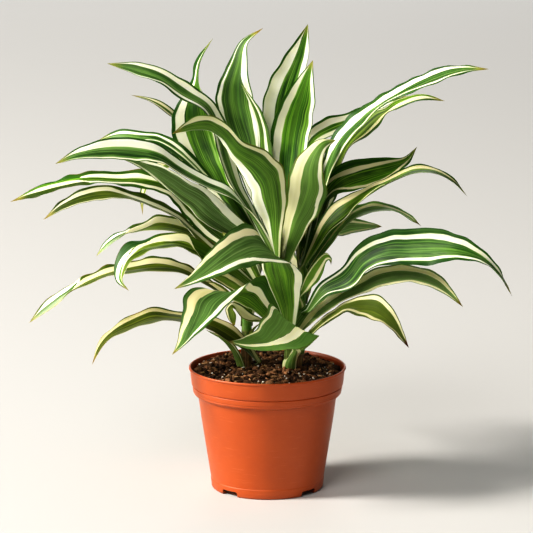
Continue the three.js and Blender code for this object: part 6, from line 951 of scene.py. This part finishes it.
    # the pale bands narrow towards the tip
    keep = (1 - 0.8 * ease(lu, 0.88, 0.99))[i]
    for a, b in ((0, 1), (2, 3)):
        middle, reach = (lanes[a] + lanes[b]) / 2, (lanes[b] - lanes[a]) / 2
        lanes[a], lanes[b] = middle - reach * keep, middle + reach * keep
    add_attr(me, "leaf_place", np.stack([along[i] * MM, vv * half.max() * MM, np.full(len(i), number * 1.0)], 1), "FLOAT_VECTOR")
    add_attr(me, "leaf_shape", np.stack([lu[i], vv, half[i] * MM], 1), "FLOAT_VECTOR")
    add_attr(me, "leaf_bands", np.stack(lanes[:3], 1), "FLOAT_VECTOR")
    add_attr(me, "leaf_more", np.stack([lanes[3], tone, under], 1), "FLOAT_VECTOR")
    add_attr(me, "leaf_dry", np.stack([np.full(len(i), traits[1]), np.full(len(i), traits[2]), base[i]], 1), "FLOAT_VECTOR")
    me.attributes.new("leaf_painted_light_cream_calm", "FLOAT_COLOR", "POINT").data.foreach_set("color", np.stack([lift, cream_shade_1, cream_shade_2, calm], 1).astype(np.float32).ravel())
    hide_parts(name)
    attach(ob, ROOT)
    return ob


for leaf_name, leaf_rows in LEAVES.items():
    leaf_piece(leaf_name, leaf_rows, SHOOT_OF[leaf_name], BANDS[leaf_name], TRAITS[leaf_name])


# ---- canes ------------------------------------------------------------------
def cane_material():
    g = Graph("cane_bark")
    place = g.split(g.attr("cane_place", "Vector"))     # along (m), turn 0..1, share 0..1
    kind = g.split(g.attr("cane_kind", "Vector"))       # dryness, seed, ring 0..1
    co = g.coords()
    turn = g.math("MULTIPLY", place[1], 6.28318)
    ring_v = g.xyz(g.math("MULTIPLY", place[0], 16), g.math("MULTIPLY_ADD", g.math("SINE", turn), 9.0, kind[1]),
                   g.math("MULTIPLY", g.math("COSINE", turn), 9.0))
    fibre = g.noise(ring_v, 1.0, 3.0, 0.6)
    spots = g.noise(g.scaled(co, (260, 260, 260)), 1.0, 3.0, 0.6)
    green = g.mix(g.step(fibre, 0.32, 0.68), srgb(58, 112, 28), srgb(112, 158, 62))
    green = g.mix(g.math("MULTIPLY", g.step(fibre, 0.58, 0.64), 0.5), green, srgb(206, 218, 158))
    tan = g.mix(g.step(fibre, 0.32, 0.66), srgb(92, 64, 38), srgb(178, 140, 96))
    tan = g.mix(g.math("MULTIPLY", g.step(spots, 0.5, 0.68), 0.6), tan, srgb(70, 48, 30))
    low = g.step(g.math("ADD", place[2], g.math("MULTIPLY", g.math("SUBTRACT", spots, 0.5), 0.30)), 0.22, 0.46, 1.0, 0.0)
    col = g.mix(g.math("MULTIPLY", low, kind[0]), green, tan)
    col = g.mix(g.math("MULTIPLY", kind[2], 0.55), col, srgb(84, 70, 36))
    rough = g.math("MULTIPLY_ADD", spots, 0.22, 0.42)
    height = g.math("ADD", fibre, g.math("MULTIPLY", spots, 0.6))
    g.set(Base_Color=col, Roughness=rough, Normal=g.bump(height, 0.5, 0.0004))
    g.set(Specular_IOR_Level=0.4)
    return g.mat


CANE_MAT = cane_material()


def closed_skin(name, rings, material, attrs=None):
    """A closed surface through rings of points, capped at both ends by its middle."""
    rings = np.asarray(rings, float)
    R, S = rings.shape[:2]
    verts = [p for ring in rings for p in ring]
    faces = []
    for i in range(R - 1):
        for j in range(S):
            k = (j + 1) % S
            faces.append((i * S + j, i * S + k, (i + 1) * S + k, (i + 1) * S + j))
    verts.append(rings[0].mean(0))
    verts.append(rings[-1].mean(0))
    a, b = R * S, R * S + 1
    for j in range(S):
        k = (j + 1) % S
        faces.append((a, k, j))
        faces.append((b, (R - 1) * S + j, (R - 1) * S + k))
    return make_mesh(name, np.array(verts) * MM, faces, material)


def cane_piece(name, key, dryness, seed):
    rng = np.random.default_rng(seed)
    q = np.array(CANES[key], float)
    n = 190
    zs = np.linspace(q[0, 2], q[-1, 2], n)
    nodes = []
    z = q[0, 2] + 3
    while z < q[-1, 2] - 2:
        nodes.append(z)
        z += rng.uniform(3.4, 6.2)
    S = 28
    theta = np.linspace(0, 2 * np.pi, S, endpoint=False)
    rings, place, kind = [], [], []
    lobes = rng.uniform(0, 6.28, 3)
    for i, z in enumerate(zs):
        axis = cane_axis(key, z)
        share = (z - q[0, 2]) / (q[-1, 2] - q[0, 2])
        r = cane_radius(key, z)
        gap = min(abs(z + 0.35 * math.sin(3 * z) - m) for m in nodes)
        scar = math.exp(-(gap / 0.5) ** 2)
        r = r * (1 - 0.02) - 0.22 + 0.26 * scar + 0.10 * math.sin(z * 0.6 + lobes[0])
        if i < 5:
            r *= math.sqrt(max(0.04, 1 - ((5 - i) / 5.2) ** 2))
        wob = 1 + 0.035 * np.sin(2 * theta + lobes[1] + z * 0.05) + 0.02 * np.sin(5 * theta + lobes[2] + z * 0.11)
        top = np.clip((q[-1, 2] - z) / 5.0, 0, 1)
        r *= 0.25 + 0.75 * math.sqrt(top) if top < 1 else 1
        rings.append(np.stack([axis[0] + r * wob * np.cos(theta), axis[1] + r * wob * np.sin(theta), np.full(S, z)], 1))
        for j in range(S):
            place.append((z * MM, j / S, share))
            kind.append((dryness, seed % 17, scar))
    place += [place[0], place[-1]]
    kind += [kind[0], kind[-1]]
    ob = closed_skin(name + "_stem", rings, CANE_MAT)
    add_attr(ob.data, "cane_place", place, "FLOAT_VECTOR")
    add_attr(ob.data, "cane_kind", kind, "FLOAT_VECTOR")
    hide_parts(name)
    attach(ob, ROOT)
    return ob


cane_piece("cane_A", "A", 0.35, 101)
cane_piece("cane_B", "B", 0.95, 202)
cane_piece("cane_C", "C", 0.9, 303)


# ---- potting soil -----------------------------------------------------------
def soil_material():
    g = Graph("soil_mix")
    kind = g.split(g.attr("crumb", "Vector"))           # kind, random, random
    co = g.coords()
    n1 = g.noise(g.scaled(co, (420, 420, 420)), 1.0, 6.0, 0.65)
    n2 = g.noise(g.scaled(co, (1500, 1500, 1500)), 1.0, 3.0, 0.6)
    n3 = g.noise(g.scaled(co, (90, 90, 90)), 1.0, 3.0, 0.6)
    peat = g.mix(g.step(n1, 0.36, 0.66), srgb(32, 21, 14), srgb(108, 74, 51))
    peat = g.mix(g.math("MULTIPLY", g.step(n2, 0.60, 0.70), 0.7), peat, srgb(136, 100, 70))
    peat = g.mix(g.math("MULTIPLY", g.step(n3, 0.45, 0.65), 0.45), peat, srgb(40, 25, 17))
    crumb = g.mix(g.math("MULTIPLY", kind[1], kind[1]), srgb(42, 28, 19), srgb(190, 140, 101))
    crumb = g.mix(g.math("MULTIPLY", g.step(n2, 0.44, 0.62), 0.45), crumb, srgb(52, 35, 23))
    crumb = g.mix(g.math("MULTIPLY", g.step(n1, 0.56, 0.66), 0.5), crumb, srgb(158, 122, 88))
    bark = g.mix(kind[1], srgb(92, 60, 38), srgb(206, 164, 120))
    bark = g.mix(g.math("MULTIPLY", g.step(n1, 0.42, 0.62), 0.5), bark, srgb(66, 42, 26))
    pearl = g.mix(g.step(n2, 0.4, 0.7), srgb(214, 208, 196), srgb(246, 243, 236))
    root = g.mix(kind[1], srgb(150, 116, 78), srgb(206, 178, 134))
    k = kind[0]
    col = g.mix(g.math("GREATER_THAN", k, 0.5), peat, crumb)
    col = g.mix(g.math("GREATER_THAN", k, 1.5), col, bark)
    col = g.mix(g.math("GREATER_THAN", k, 2.5), col, pearl)
    col = g.mix(g.math("GREATER_THAN", k, 3.5), col, root)
    height = g.math("ADD", n1, g.math("MULTIPLY", n2, 0.5))
    g.set(Base_Color=col, Roughness=g.math("MULTIPLY_ADD", n1, 0.2, 0.78), Normal=g.bump(height, 0.9, 0.0012))
    g.set(Specular_IOR_Level=0.25)
    return g.mat


SOIL_MAT = soil_material()
SOIL_PROFILE = [(41.2, 1.9), (43.1, 16.8), (46.1, 36.3), (49.1, 55.8), (51.1, 71.4), (51.6, 74.3), (54.7, 75.7), (55.6, 78.1)]


def soil_top(x, y):
    """Height of the soil: a low mound with lumps."""
    r = math.hypot(x, y)
    z = 90.6 + 5.0 * max(0.0, 1 - (r / 55.9) ** 2) ** 1.1
    p = Vector((x, y, 0))
    fade = max(0.0, min(1.0, (56.6 - r) / 3.0))
    lump = 1.6 * noise.noise(p * 0.065) + 1.5 * noise.noise(p * 0.19 + Vector((9, 0, 0))) \
        + 0.9 * noise.noise(p * 0.5 + Vector((0, 5, 0))) + 0.35 * noise.noise(p * 1.3)
    # the mix lies a little higher at the back and on the left
    z += 1.5 * max(0.0, min(1.0, (0.7 * y - 0.35 * x + 12) / 60)) * fade
    return z + (lump + 0.2) * (0.3 + 0.7 * fade)


def ball(subdivisions):
    """Vertices and faces of a unit icosphere."""
    bm = bmesh.new()
    bmesh.ops.create_icosphere(bm, subdivisions=subdivisions, radius=1.0)
    verts = np.array([v.co[:] for v in bm.verts])
    faces = [tuple(v.index for v in f.verts) for f in bm.faces]
    bm.free()
    return verts, faces


def make_soil():
    S = 220
    theta = np.linspace(0, 2 * np.pi, S, endpoint=False)
    prof = SOIL_PROFILE + [(55.75, 84.0), (55.95, 89.6)]
    verts, faces, kinds = [], [], []
    for r, z in prof:
        verts += [(r * math.cos(t), r * math.sin(t), z) for t in theta]
    for r in np.linspace(55.95, 1.0, 84):
        verts += [(r * math.cos(t), r * math.sin(t), soil_top(r * math.cos(t), r * math.sin(t))) for t in theta]
    rings = len(verts) // S
    for i in range(rings - 1):
        for j in range(S):
            k = (j + 1) % S
            faces.append((i * S + j, i * S + k, (i + 1) * S + k, (i + 1) * S + j))
    low, top = len(verts), len(verts) + 1
    verts += [(0, 0, 1.9), (0, 0, soil_top(0, 0))]
    for j in range(S):
        k = (j + 1) % S
        faces.append((low, k, j))
        faces.append((top, (rings - 1) * S + j, (rings - 1) * S + k))
    kinds += [(0.0, 0.0, 0.0)] * len(verts)
    rng = random.Random(77)
    feet = [cane_axis(key, 96.0) for key in CANES]
    shapes = {n: ball(n) for n in (1, 2)}

    def free_spot(reach, gap):
        for _ in range(50):
            r = reach * math.sqrt(rng.random())
            t = rng.uniform(0, 2 * math.pi)
            x, y = r * math.cos(t), r * math.sin(t)
            if all(math.hypot(x - f[0], y - f[1]) > gap for f in feet):
                break
        return x, y

    def crumb(x, y, z, size, kind, flat, rounds):
        """One seeded lump: a jittered ball or a stretched chip."""
        turn = Matrix.Rotation(rng.uniform(0, 6.28), 3, "Z") @ Matrix.Rotation(rng.uniform(-0.7, 0.7), 3, "X")
        shift = Vector((rng.uniform(0, 90), rng.uniform(0, 90), 0))
        a, b = rng.random(), rng.random()
        base, cells = shapes[rounds]
        start = len(verts)
        for co in base:
            d = Vector(co)
            d *= 1 + 0.75 * noise.noise(d * 1.25 + shift)
            d = turn @ Vector((d.x * flat[0], d.y * flat[1], d.z * flat[2])) * size
            verts.append((x + d.x, y + d.y, z + d.z))
            kinds.append((kind, a, b))
        faces.extend(tuple(start + k for k in cell) for cell in cells)

    for _ in range(520):
        x, y = free_spot(53.0, 5.8)
        size = rng.uniform(0.8, 2.6) * (1.4 if rng.random() < 0.14 else 1.0)
        crumb(x, y, soil_top(x, y) + size * rng.uniform(-0.2, 0.4), size, 1.0, (1, rng.uniform(0.6, 1), rng.uniform(0.5, 0.9)), 2)
    for _ in range(900):
        x, y = free_spot(54.8, 4.9)
        size = rng.uniform(0.3, 0.9)
        crumb(x, y, soil_top(x, y) + size * rng.uniform(0.0, 1.0) + 0.3, size, 1.0, (1, rng.uniform(0.7, 1), rng.uniform(0.6, 0.9)), 1)
    for _ in range(130):
        x, y = free_spot(51.5, 6.6)
        size = rng.uniform(0.9, 2.6)
        crumb(x, y, soil_top(x, y) + 0.7, size, 2.0, (1.4, rng.uniform(0.38, 0.65), rng.uniform(0.22, 0.45)), 2)
    # two loose heaps behind the canes, as the pot was filled
    for hx, hy, n in ((-30.0, 26.0, 60), (30.0, 28.0, 46), (-36.0, 8.0, 30)):
        for _ in range(n):
            x, y = hx + rng.gauss(0, 6.0), hy + rng.gauss(0, 5.0)
            if math.hypot(x, y) > 51.5:
                continue
            size = rng.uniform(0.9, 2.6)
            rise = 4.0 * math.exp(-((x - hx) ** 2 + (y - hy) ** 2) / 60)
            crumb(x, y, soil_top(x, y) + rise * rng.random(), size, 1.0 if rng.random() < 0.75 else 2.0,
                  (1, rng.uniform(0.6, 1), rng.uniform(0.5, 0.9)), 2)
    for _ in range(84):
        x, y = free_spot(53.0, 5.4)
        size = rng.uniform(0.35, 0.85)
        crumb(x, y, soil_top(x, y) + 0.8 * size + 0.9, size, 3.0, (1, rng.uniform(0.7, 1), 0.75), 2)
    # fine roots and fibres lying on the soil
    for _ in range(30):
        x, y = free_spot(44.0, 8.0)
        t = rng.uniform(0, 6.28)
        a, b = rng.random(), rng.random()
        last = None
        for k in range(rng.randint(7, 12)):
            t += rng.uniform(-0.5, 0.5)
            x, y = x + 1.1 * math.cos(t), y + 1.1 * math.sin(t)
            if math.hypot(x, y) > 52.5:
                break
            z = soil_top(x, y) + 0.75
            ring = []
            for j in range(5):
                s = j * 2 * math.pi / 5
                ring.append(len(verts))
                verts.append((x - 0.2 * math.cos(s) * math.sin(t), y + 0.2 * math.cos(s) * math.cos(t), z + 0.2 * math.sin(s)))
                kinds.append((4.0, a, b))
            if last:
                for j in range(5):
                    faces.append((last[j], last[(j + 1) % 5], ring[(j + 1) % 5], ring[j]))
            else:
                faces.append(tuple(ring[::-1]))
            last = ring
        if last:
            faces.append(tuple(last))
    ob = make_mesh("potting_soil_mix", np.array(verts) * MM, faces, SOIL_MAT)
    bm = bmesh.new()
    bm.from_mesh(ob.data)
    bmesh.ops.recalc_face_normals(bm, faces=bm.faces)
    bm.to_mesh(ob.data)
    bm.free()
    add_attr(ob.data, "crumb", kinds, "FLOAT_VECTOR")
    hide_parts("potting_soil")
    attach(ob, ROOT)
    return ob


make_soil()


# ---- nursery pot ------------------------------------------------------------
def pot_material():
    g = Graph("pot_plastic_satin")
    co = g.coords()
    xyz = g.split(co)
    big = g.noise(g.scaled(co, (18, 18, 18)), 1.0, 3.0, 0.55)
    mid = g.noise(g.scaled(co, (120, 120, 120)), 1.0, 4.0, 0.6)
    grain = g.noise(g.scaled(co, (1400, 1400, 1400)), 1.0, 2.0, 0.6)
    scuff = g.noise(g.scaled(co, (60, 60, 900)), 1.0, 3.0, 0.6)
    col = g.mix(g.step(big, 0.3, 0.7), srgb(178, 80, 21), srgb(184, 85, 24))
    col = g.mix(g.math("MULTIPLY", g.step(mid, 0.35, 0.7), 0.22), col, srgb(170, 73, 18))
    col = g.mix(g.math("MULTIPLY", g.step(scuff, 0.60, 0.72), 0.25), col, srgb(208, 122, 80))
    # dust on the foot: the bottom 4 mm of the pot is duller
    low = g.step(xyz[2], 0.004, 0.0, 0.0, 0.35)
    col = g.mix(low, col, srgb(150, 72, 40))
    rough = g.math("MULTIPLY_ADD", mid, 0.10, 0.40)
    rough = g.math("ADD", rough, g.math("MULTIPLY", g.step(scuff, 0.58, 0.70), 0.10))
    height = g.math("ADD", g.math("MULTIPLY", grain, 0.5), g.math("MULTIPLY", mid, 0.8))
    g.set(Base_Color=col, Roughness=rough, Normal=g.bump(height, 0.35, 0.00012))
    g.set(Specular_IOR_Level=0.5, Coat_Weight=0.25, Coat_Roughness=0.45)
    return g.mat


POT_MAT = pot_material()
POT_OUTER = [(42.3, 0), (42.9, 0.9), (43.6, 7.0), (43.3, 7.6), (44.8, 16.8), (47.8, 36.3), (50.8, 55.8), (52.9, 71.6),
             (53.4, 72.7), (55.8, 73.6), (56.7, 74.9), (56.5, 75.6), (57.0, 76.2), (57.3, 79.6), (56.8, 79.95), (56.9, 80.4), (57.95, 80.8), (59.2, 92.2), (60, 92.9), (60, 93.8), (59.5, 94.4)]
POT_INNER = [(58.5, 94.2), (57.9, 92.6), (56.1, 78.0), (55.2, 75.4), (52.0, 73.9), (51.5, 71.4), (49.5, 55.8), (46.5, 36.3),
             (43.5, 16.8), (41.6, 1.6)]


def rounded(points, size, cuts=3):
    """Corner points replaced by short arcs, so that every edge catches the light."""
    pts = [np.array(p, float) for p in points]
    out = [pts[0]]
    for a, b, c in zip(pts, pts[1:], pts[2:]):
        la, lc = np.linalg.norm(a - b), np.linalg.norm(c - b)
        d = min(size, 0.42 * la, 0.42 * lc)
        p, q = b + (a - b) / la * d, b + (c - b) / lc * d
        for k in range(cuts + 1):
            t = k / cuts
            out.append((1 - t) ** 2 * p + 2 * t * (1 - t) * b + t ** 2 * q)
    out.append(pts[-1])
    return out


def make_pot():
    S = 192
    profile = [(0.02, 0.0)] + POT_OUTER + POT_INNER + [(0.02, 1.6)]
    line = rounded(profile, 0.28)
    # long straight stretches get extra rings
    full = [line[0]]
    for a, b in zip(line, line[1:]):
        n = max(1, int(np.linalg.norm(b - a) / 5))
        full += [a + (b - a) * k / n for k in range(1, n + 1)]
    theta = np.linspace(0, 2 * np.pi, S, endpoint=False)
    verts, faces = [], []
    for r, z in full:
        for t in theta:
            # moulded plastic is never quite round
            rr = r * (1 + 0.0016 * math.sin(2 * t + 0.7) * min(1, z / 40)) if r > 5 else r
            verts.append((rr * math.cos(t) * MM, rr * math.sin(t) * MM, z * MM))
    n = len(full)
    for i in range(n - 1):
        for j in range(S):
            k = (j + 1) % S
            faces.append((i * S + j, i * S + k, (i + 1) * S + k, (i + 1) * S + j))
    faces.append(tuple(range(S))[::-1])
    faces.append(tuple((n - 1) * S + j for j in range(S)))
    ob = make_mesh("nursery_pot_shell", verts, faces, POT_MAT)
    bm = bmesh.new()
    bm.from_mesh(ob.data)
    bmesh.ops.recalc_face_normals(bm, faces=bm.faces)
    bm.to_mesh(ob.data)
    bm.free()
    # drain notches in the foot
    cutters = []
    for deg in (47.5, 137.5, 227.5, 317.5):
        bm = bmesh.new()
        m = Matrix.Rotation(math.radians(deg), 4, "Z") @ Matrix.Translation((41.5 * MM, 0, 0)) @ Matrix.Diagonal((9 * MM, 15 * MM, 8 * MM, 1))
        bmesh.ops.create_cube(bm, size=1.0, matrix=m)
        long_edges = [e for e in bm.edges if abs((e.verts[0].co - e.verts[1].co).length - 9 * MM) < 1e-5]
        bmesh.ops.bevel(bm, geom=long_edges, offset=1.6 * MM, segments=4, affect="EDGES", profile=0.5)
        me = bpy.data.meshes.new("cutter")
        bm.to_mesh(me)
        bm.free()
        cut = bpy.data.objects.new("cutter", me)
        bpy.context.scene.collection.objects.link(cut)
        cutters.append(cut)
        mod = ob.modifiers.new("notch", "BOOLEAN")
        mod.operation = "DIFFERENCE"
        mod.solver = "EXACT"
        mod.object = cut
    bpy.context.view_layer.update()
    deps = bpy.context.evaluated_depsgraph_get()
    done = bpy.data.meshes.new_from_object(ob.evaluated_get(deps))
    ob.modifiers.clear()
    ob.data = done
    for cut in cutters:
        bpy.data.objects.remove(cut, do_unlink=True)
    done.materials.clear()
    done.materials.append(POT_MAT)
    done.shade_smooth()
    done.set_sharp_from_angle(angle=math.radians(38))
    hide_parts("nursery_pot")
    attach(ob, ROOT)
    return ob


make_pot()


# ---- texture map layout: a UV map named OFBake on each leaf -----------------
def pack_uv(ob):
    """A leaf's two sides are laid out in strips, four stretches of its length each."""
    me = ob.data
    uv = me.uv_layers.new(name="OFBake")
    shape = np.zeros(len(me.vertices) * 3, np.float32)
    me.attributes["leaf_shape"].data.foreach_get("vector", shape)
    shape = shape.reshape(-1, 3)
    place = np.zeros(len(me.vertices) * 3, np.float32)
    me.attributes["leaf_place"].data.foreach_get("vector", place)
    place = place.reshape(-1, 3)
    more = np.zeros(len(me.vertices) * 3, np.float32)
    me.attributes["leaf_more"].data.foreach_get("vector", more)
    more = more.reshape(-1, 3)
    lo, hi = place[:, 0].min(), place[:, 0].max()
    t = (place[:, 0] - lo) / (hi - lo)
    start = np.zeros(len(me.polygons), np.int32)
    total = np.zeros(len(me.polygons), np.int32)
    me.polygons.foreach_get("loop_start", start)
    me.polygons.foreach_get("loop_total", total)
    corner = np.zeros(len(me.loops), np.int32)
    me.loops.foreach_get("vertex_index", corner)

    def per_face(values):
        return np.repeat(np.add.reduceat(values[corner], start) / total, total)

    side = (per_face(more[:, 2]) > 0.3).astype(float)
    lane = np.clip(np.floor(per_face(t) * 4), 0, 3)
    local = np.clip((t[corner] * 4 - lane) * 0.94 + 0.03, 0, 1)
    out = np.stack([(side + 0.03 + 0.94 * local) / 2, (lane + 0.06 + 0.88 * (shape[corner, 1] * 0.5 + 0.5)) / 4], 1).astype(np.float32)
    uv.data.foreach_set("uv", out.ravel())


for ob in list(bpy.context.scene.objects):
    if ob.type == "MESH" and ob.name.endswith("_blade"):
        pack_uv(ob)

# ---- stage and light --------------------------------------------------------
STAGE = bpy.data.materials.new("backdrop")
STAGE.use_nodes = True
STAGE.node_tree.nodes["Principled BSDF"].inputs["Base Color"].default_value = (0.60, 0.595, 0.585, 1)
STAGE.node_tree.nodes["Principled BSDF"].inputs["Roughness"].default_value = 0.85
STAGE.node_tree.nodes["Principled BSDF"].inputs["Specular IOR Level"].default_value = 0.2
bm = bmesh.new()
bmesh.ops.create_grid(bm, x_segments=2, y_segments=2, size=9.0)
floor_mesh = bpy.data.meshes.new("floor")
bm.to_mesh(floor_mesh)
bm.free()
floor_mesh.materials.append(STAGE)
floor = bpy.data.objects.new("floor", floor_mesh)
floor.location = (0, 0, -0.0002)
bpy.context.scene.collection.objects.link(floor)


def lamp(name, azimuth, elevation, distance, size, power, color, aim=(0, 0, 0.16)):
    data = bpy.data.lights.new(name, "AREA")
    data.shape = "DISK"
    data.size = size
    data.energy = power
    data.color = color
    ob = bpy.data.objects.new(name, data)
    a, e = math.radians(azimuth), math.radians(elevation)
    # azimuth from the front (-Y), positive to the viewer's right
    direction = Vector((math.sin(a) * math.cos(e), -math.cos(a) * math.cos(e), math.sin(e)))
    ob.location = Vector(aim) + direction * distance
    ob.rotation_euler = (-direction).to_track_quat("-Z", "Y").to_euler()
    bpy.context.scene.collection.objects.link(ob)
    return ob


lamp("key", -77, 36, 5.0, 1.3, 262, (1.0, 0.96, 0.90))
lamp("side", -82, 13, 5.0, 1.6, 78, (1.0, 0.96, 0.90))
lamp("front", -24, 40, 5.0, 2.6, 82, (1.0, 0.98, 0.94))
# evens out the far part of the floor, behind the plant
lamp("far", 180, 40, 4.6, 3.0, 95, (1.0, 1.0, 1.0), aim=(0, 2.6, 0.0)).rotation_euler = (0, 0, 0)
world = bpy.data.worlds.new("world")
bpy.context.scene.world = world
world.use_nodes = True
world.node_tree.nodes["Background"].inputs["Color"].default_value = (0.90, 0.90, 0.87, 1)
world.node_tree.nodes["Background"].inputs["Strength"].default_value = 0.20
bpy.context.scene.view_settings.view_transform = "Standard"
bpy.context.scene.view_settings.look = "High Contrast"

bpy.context.view_layer.update()
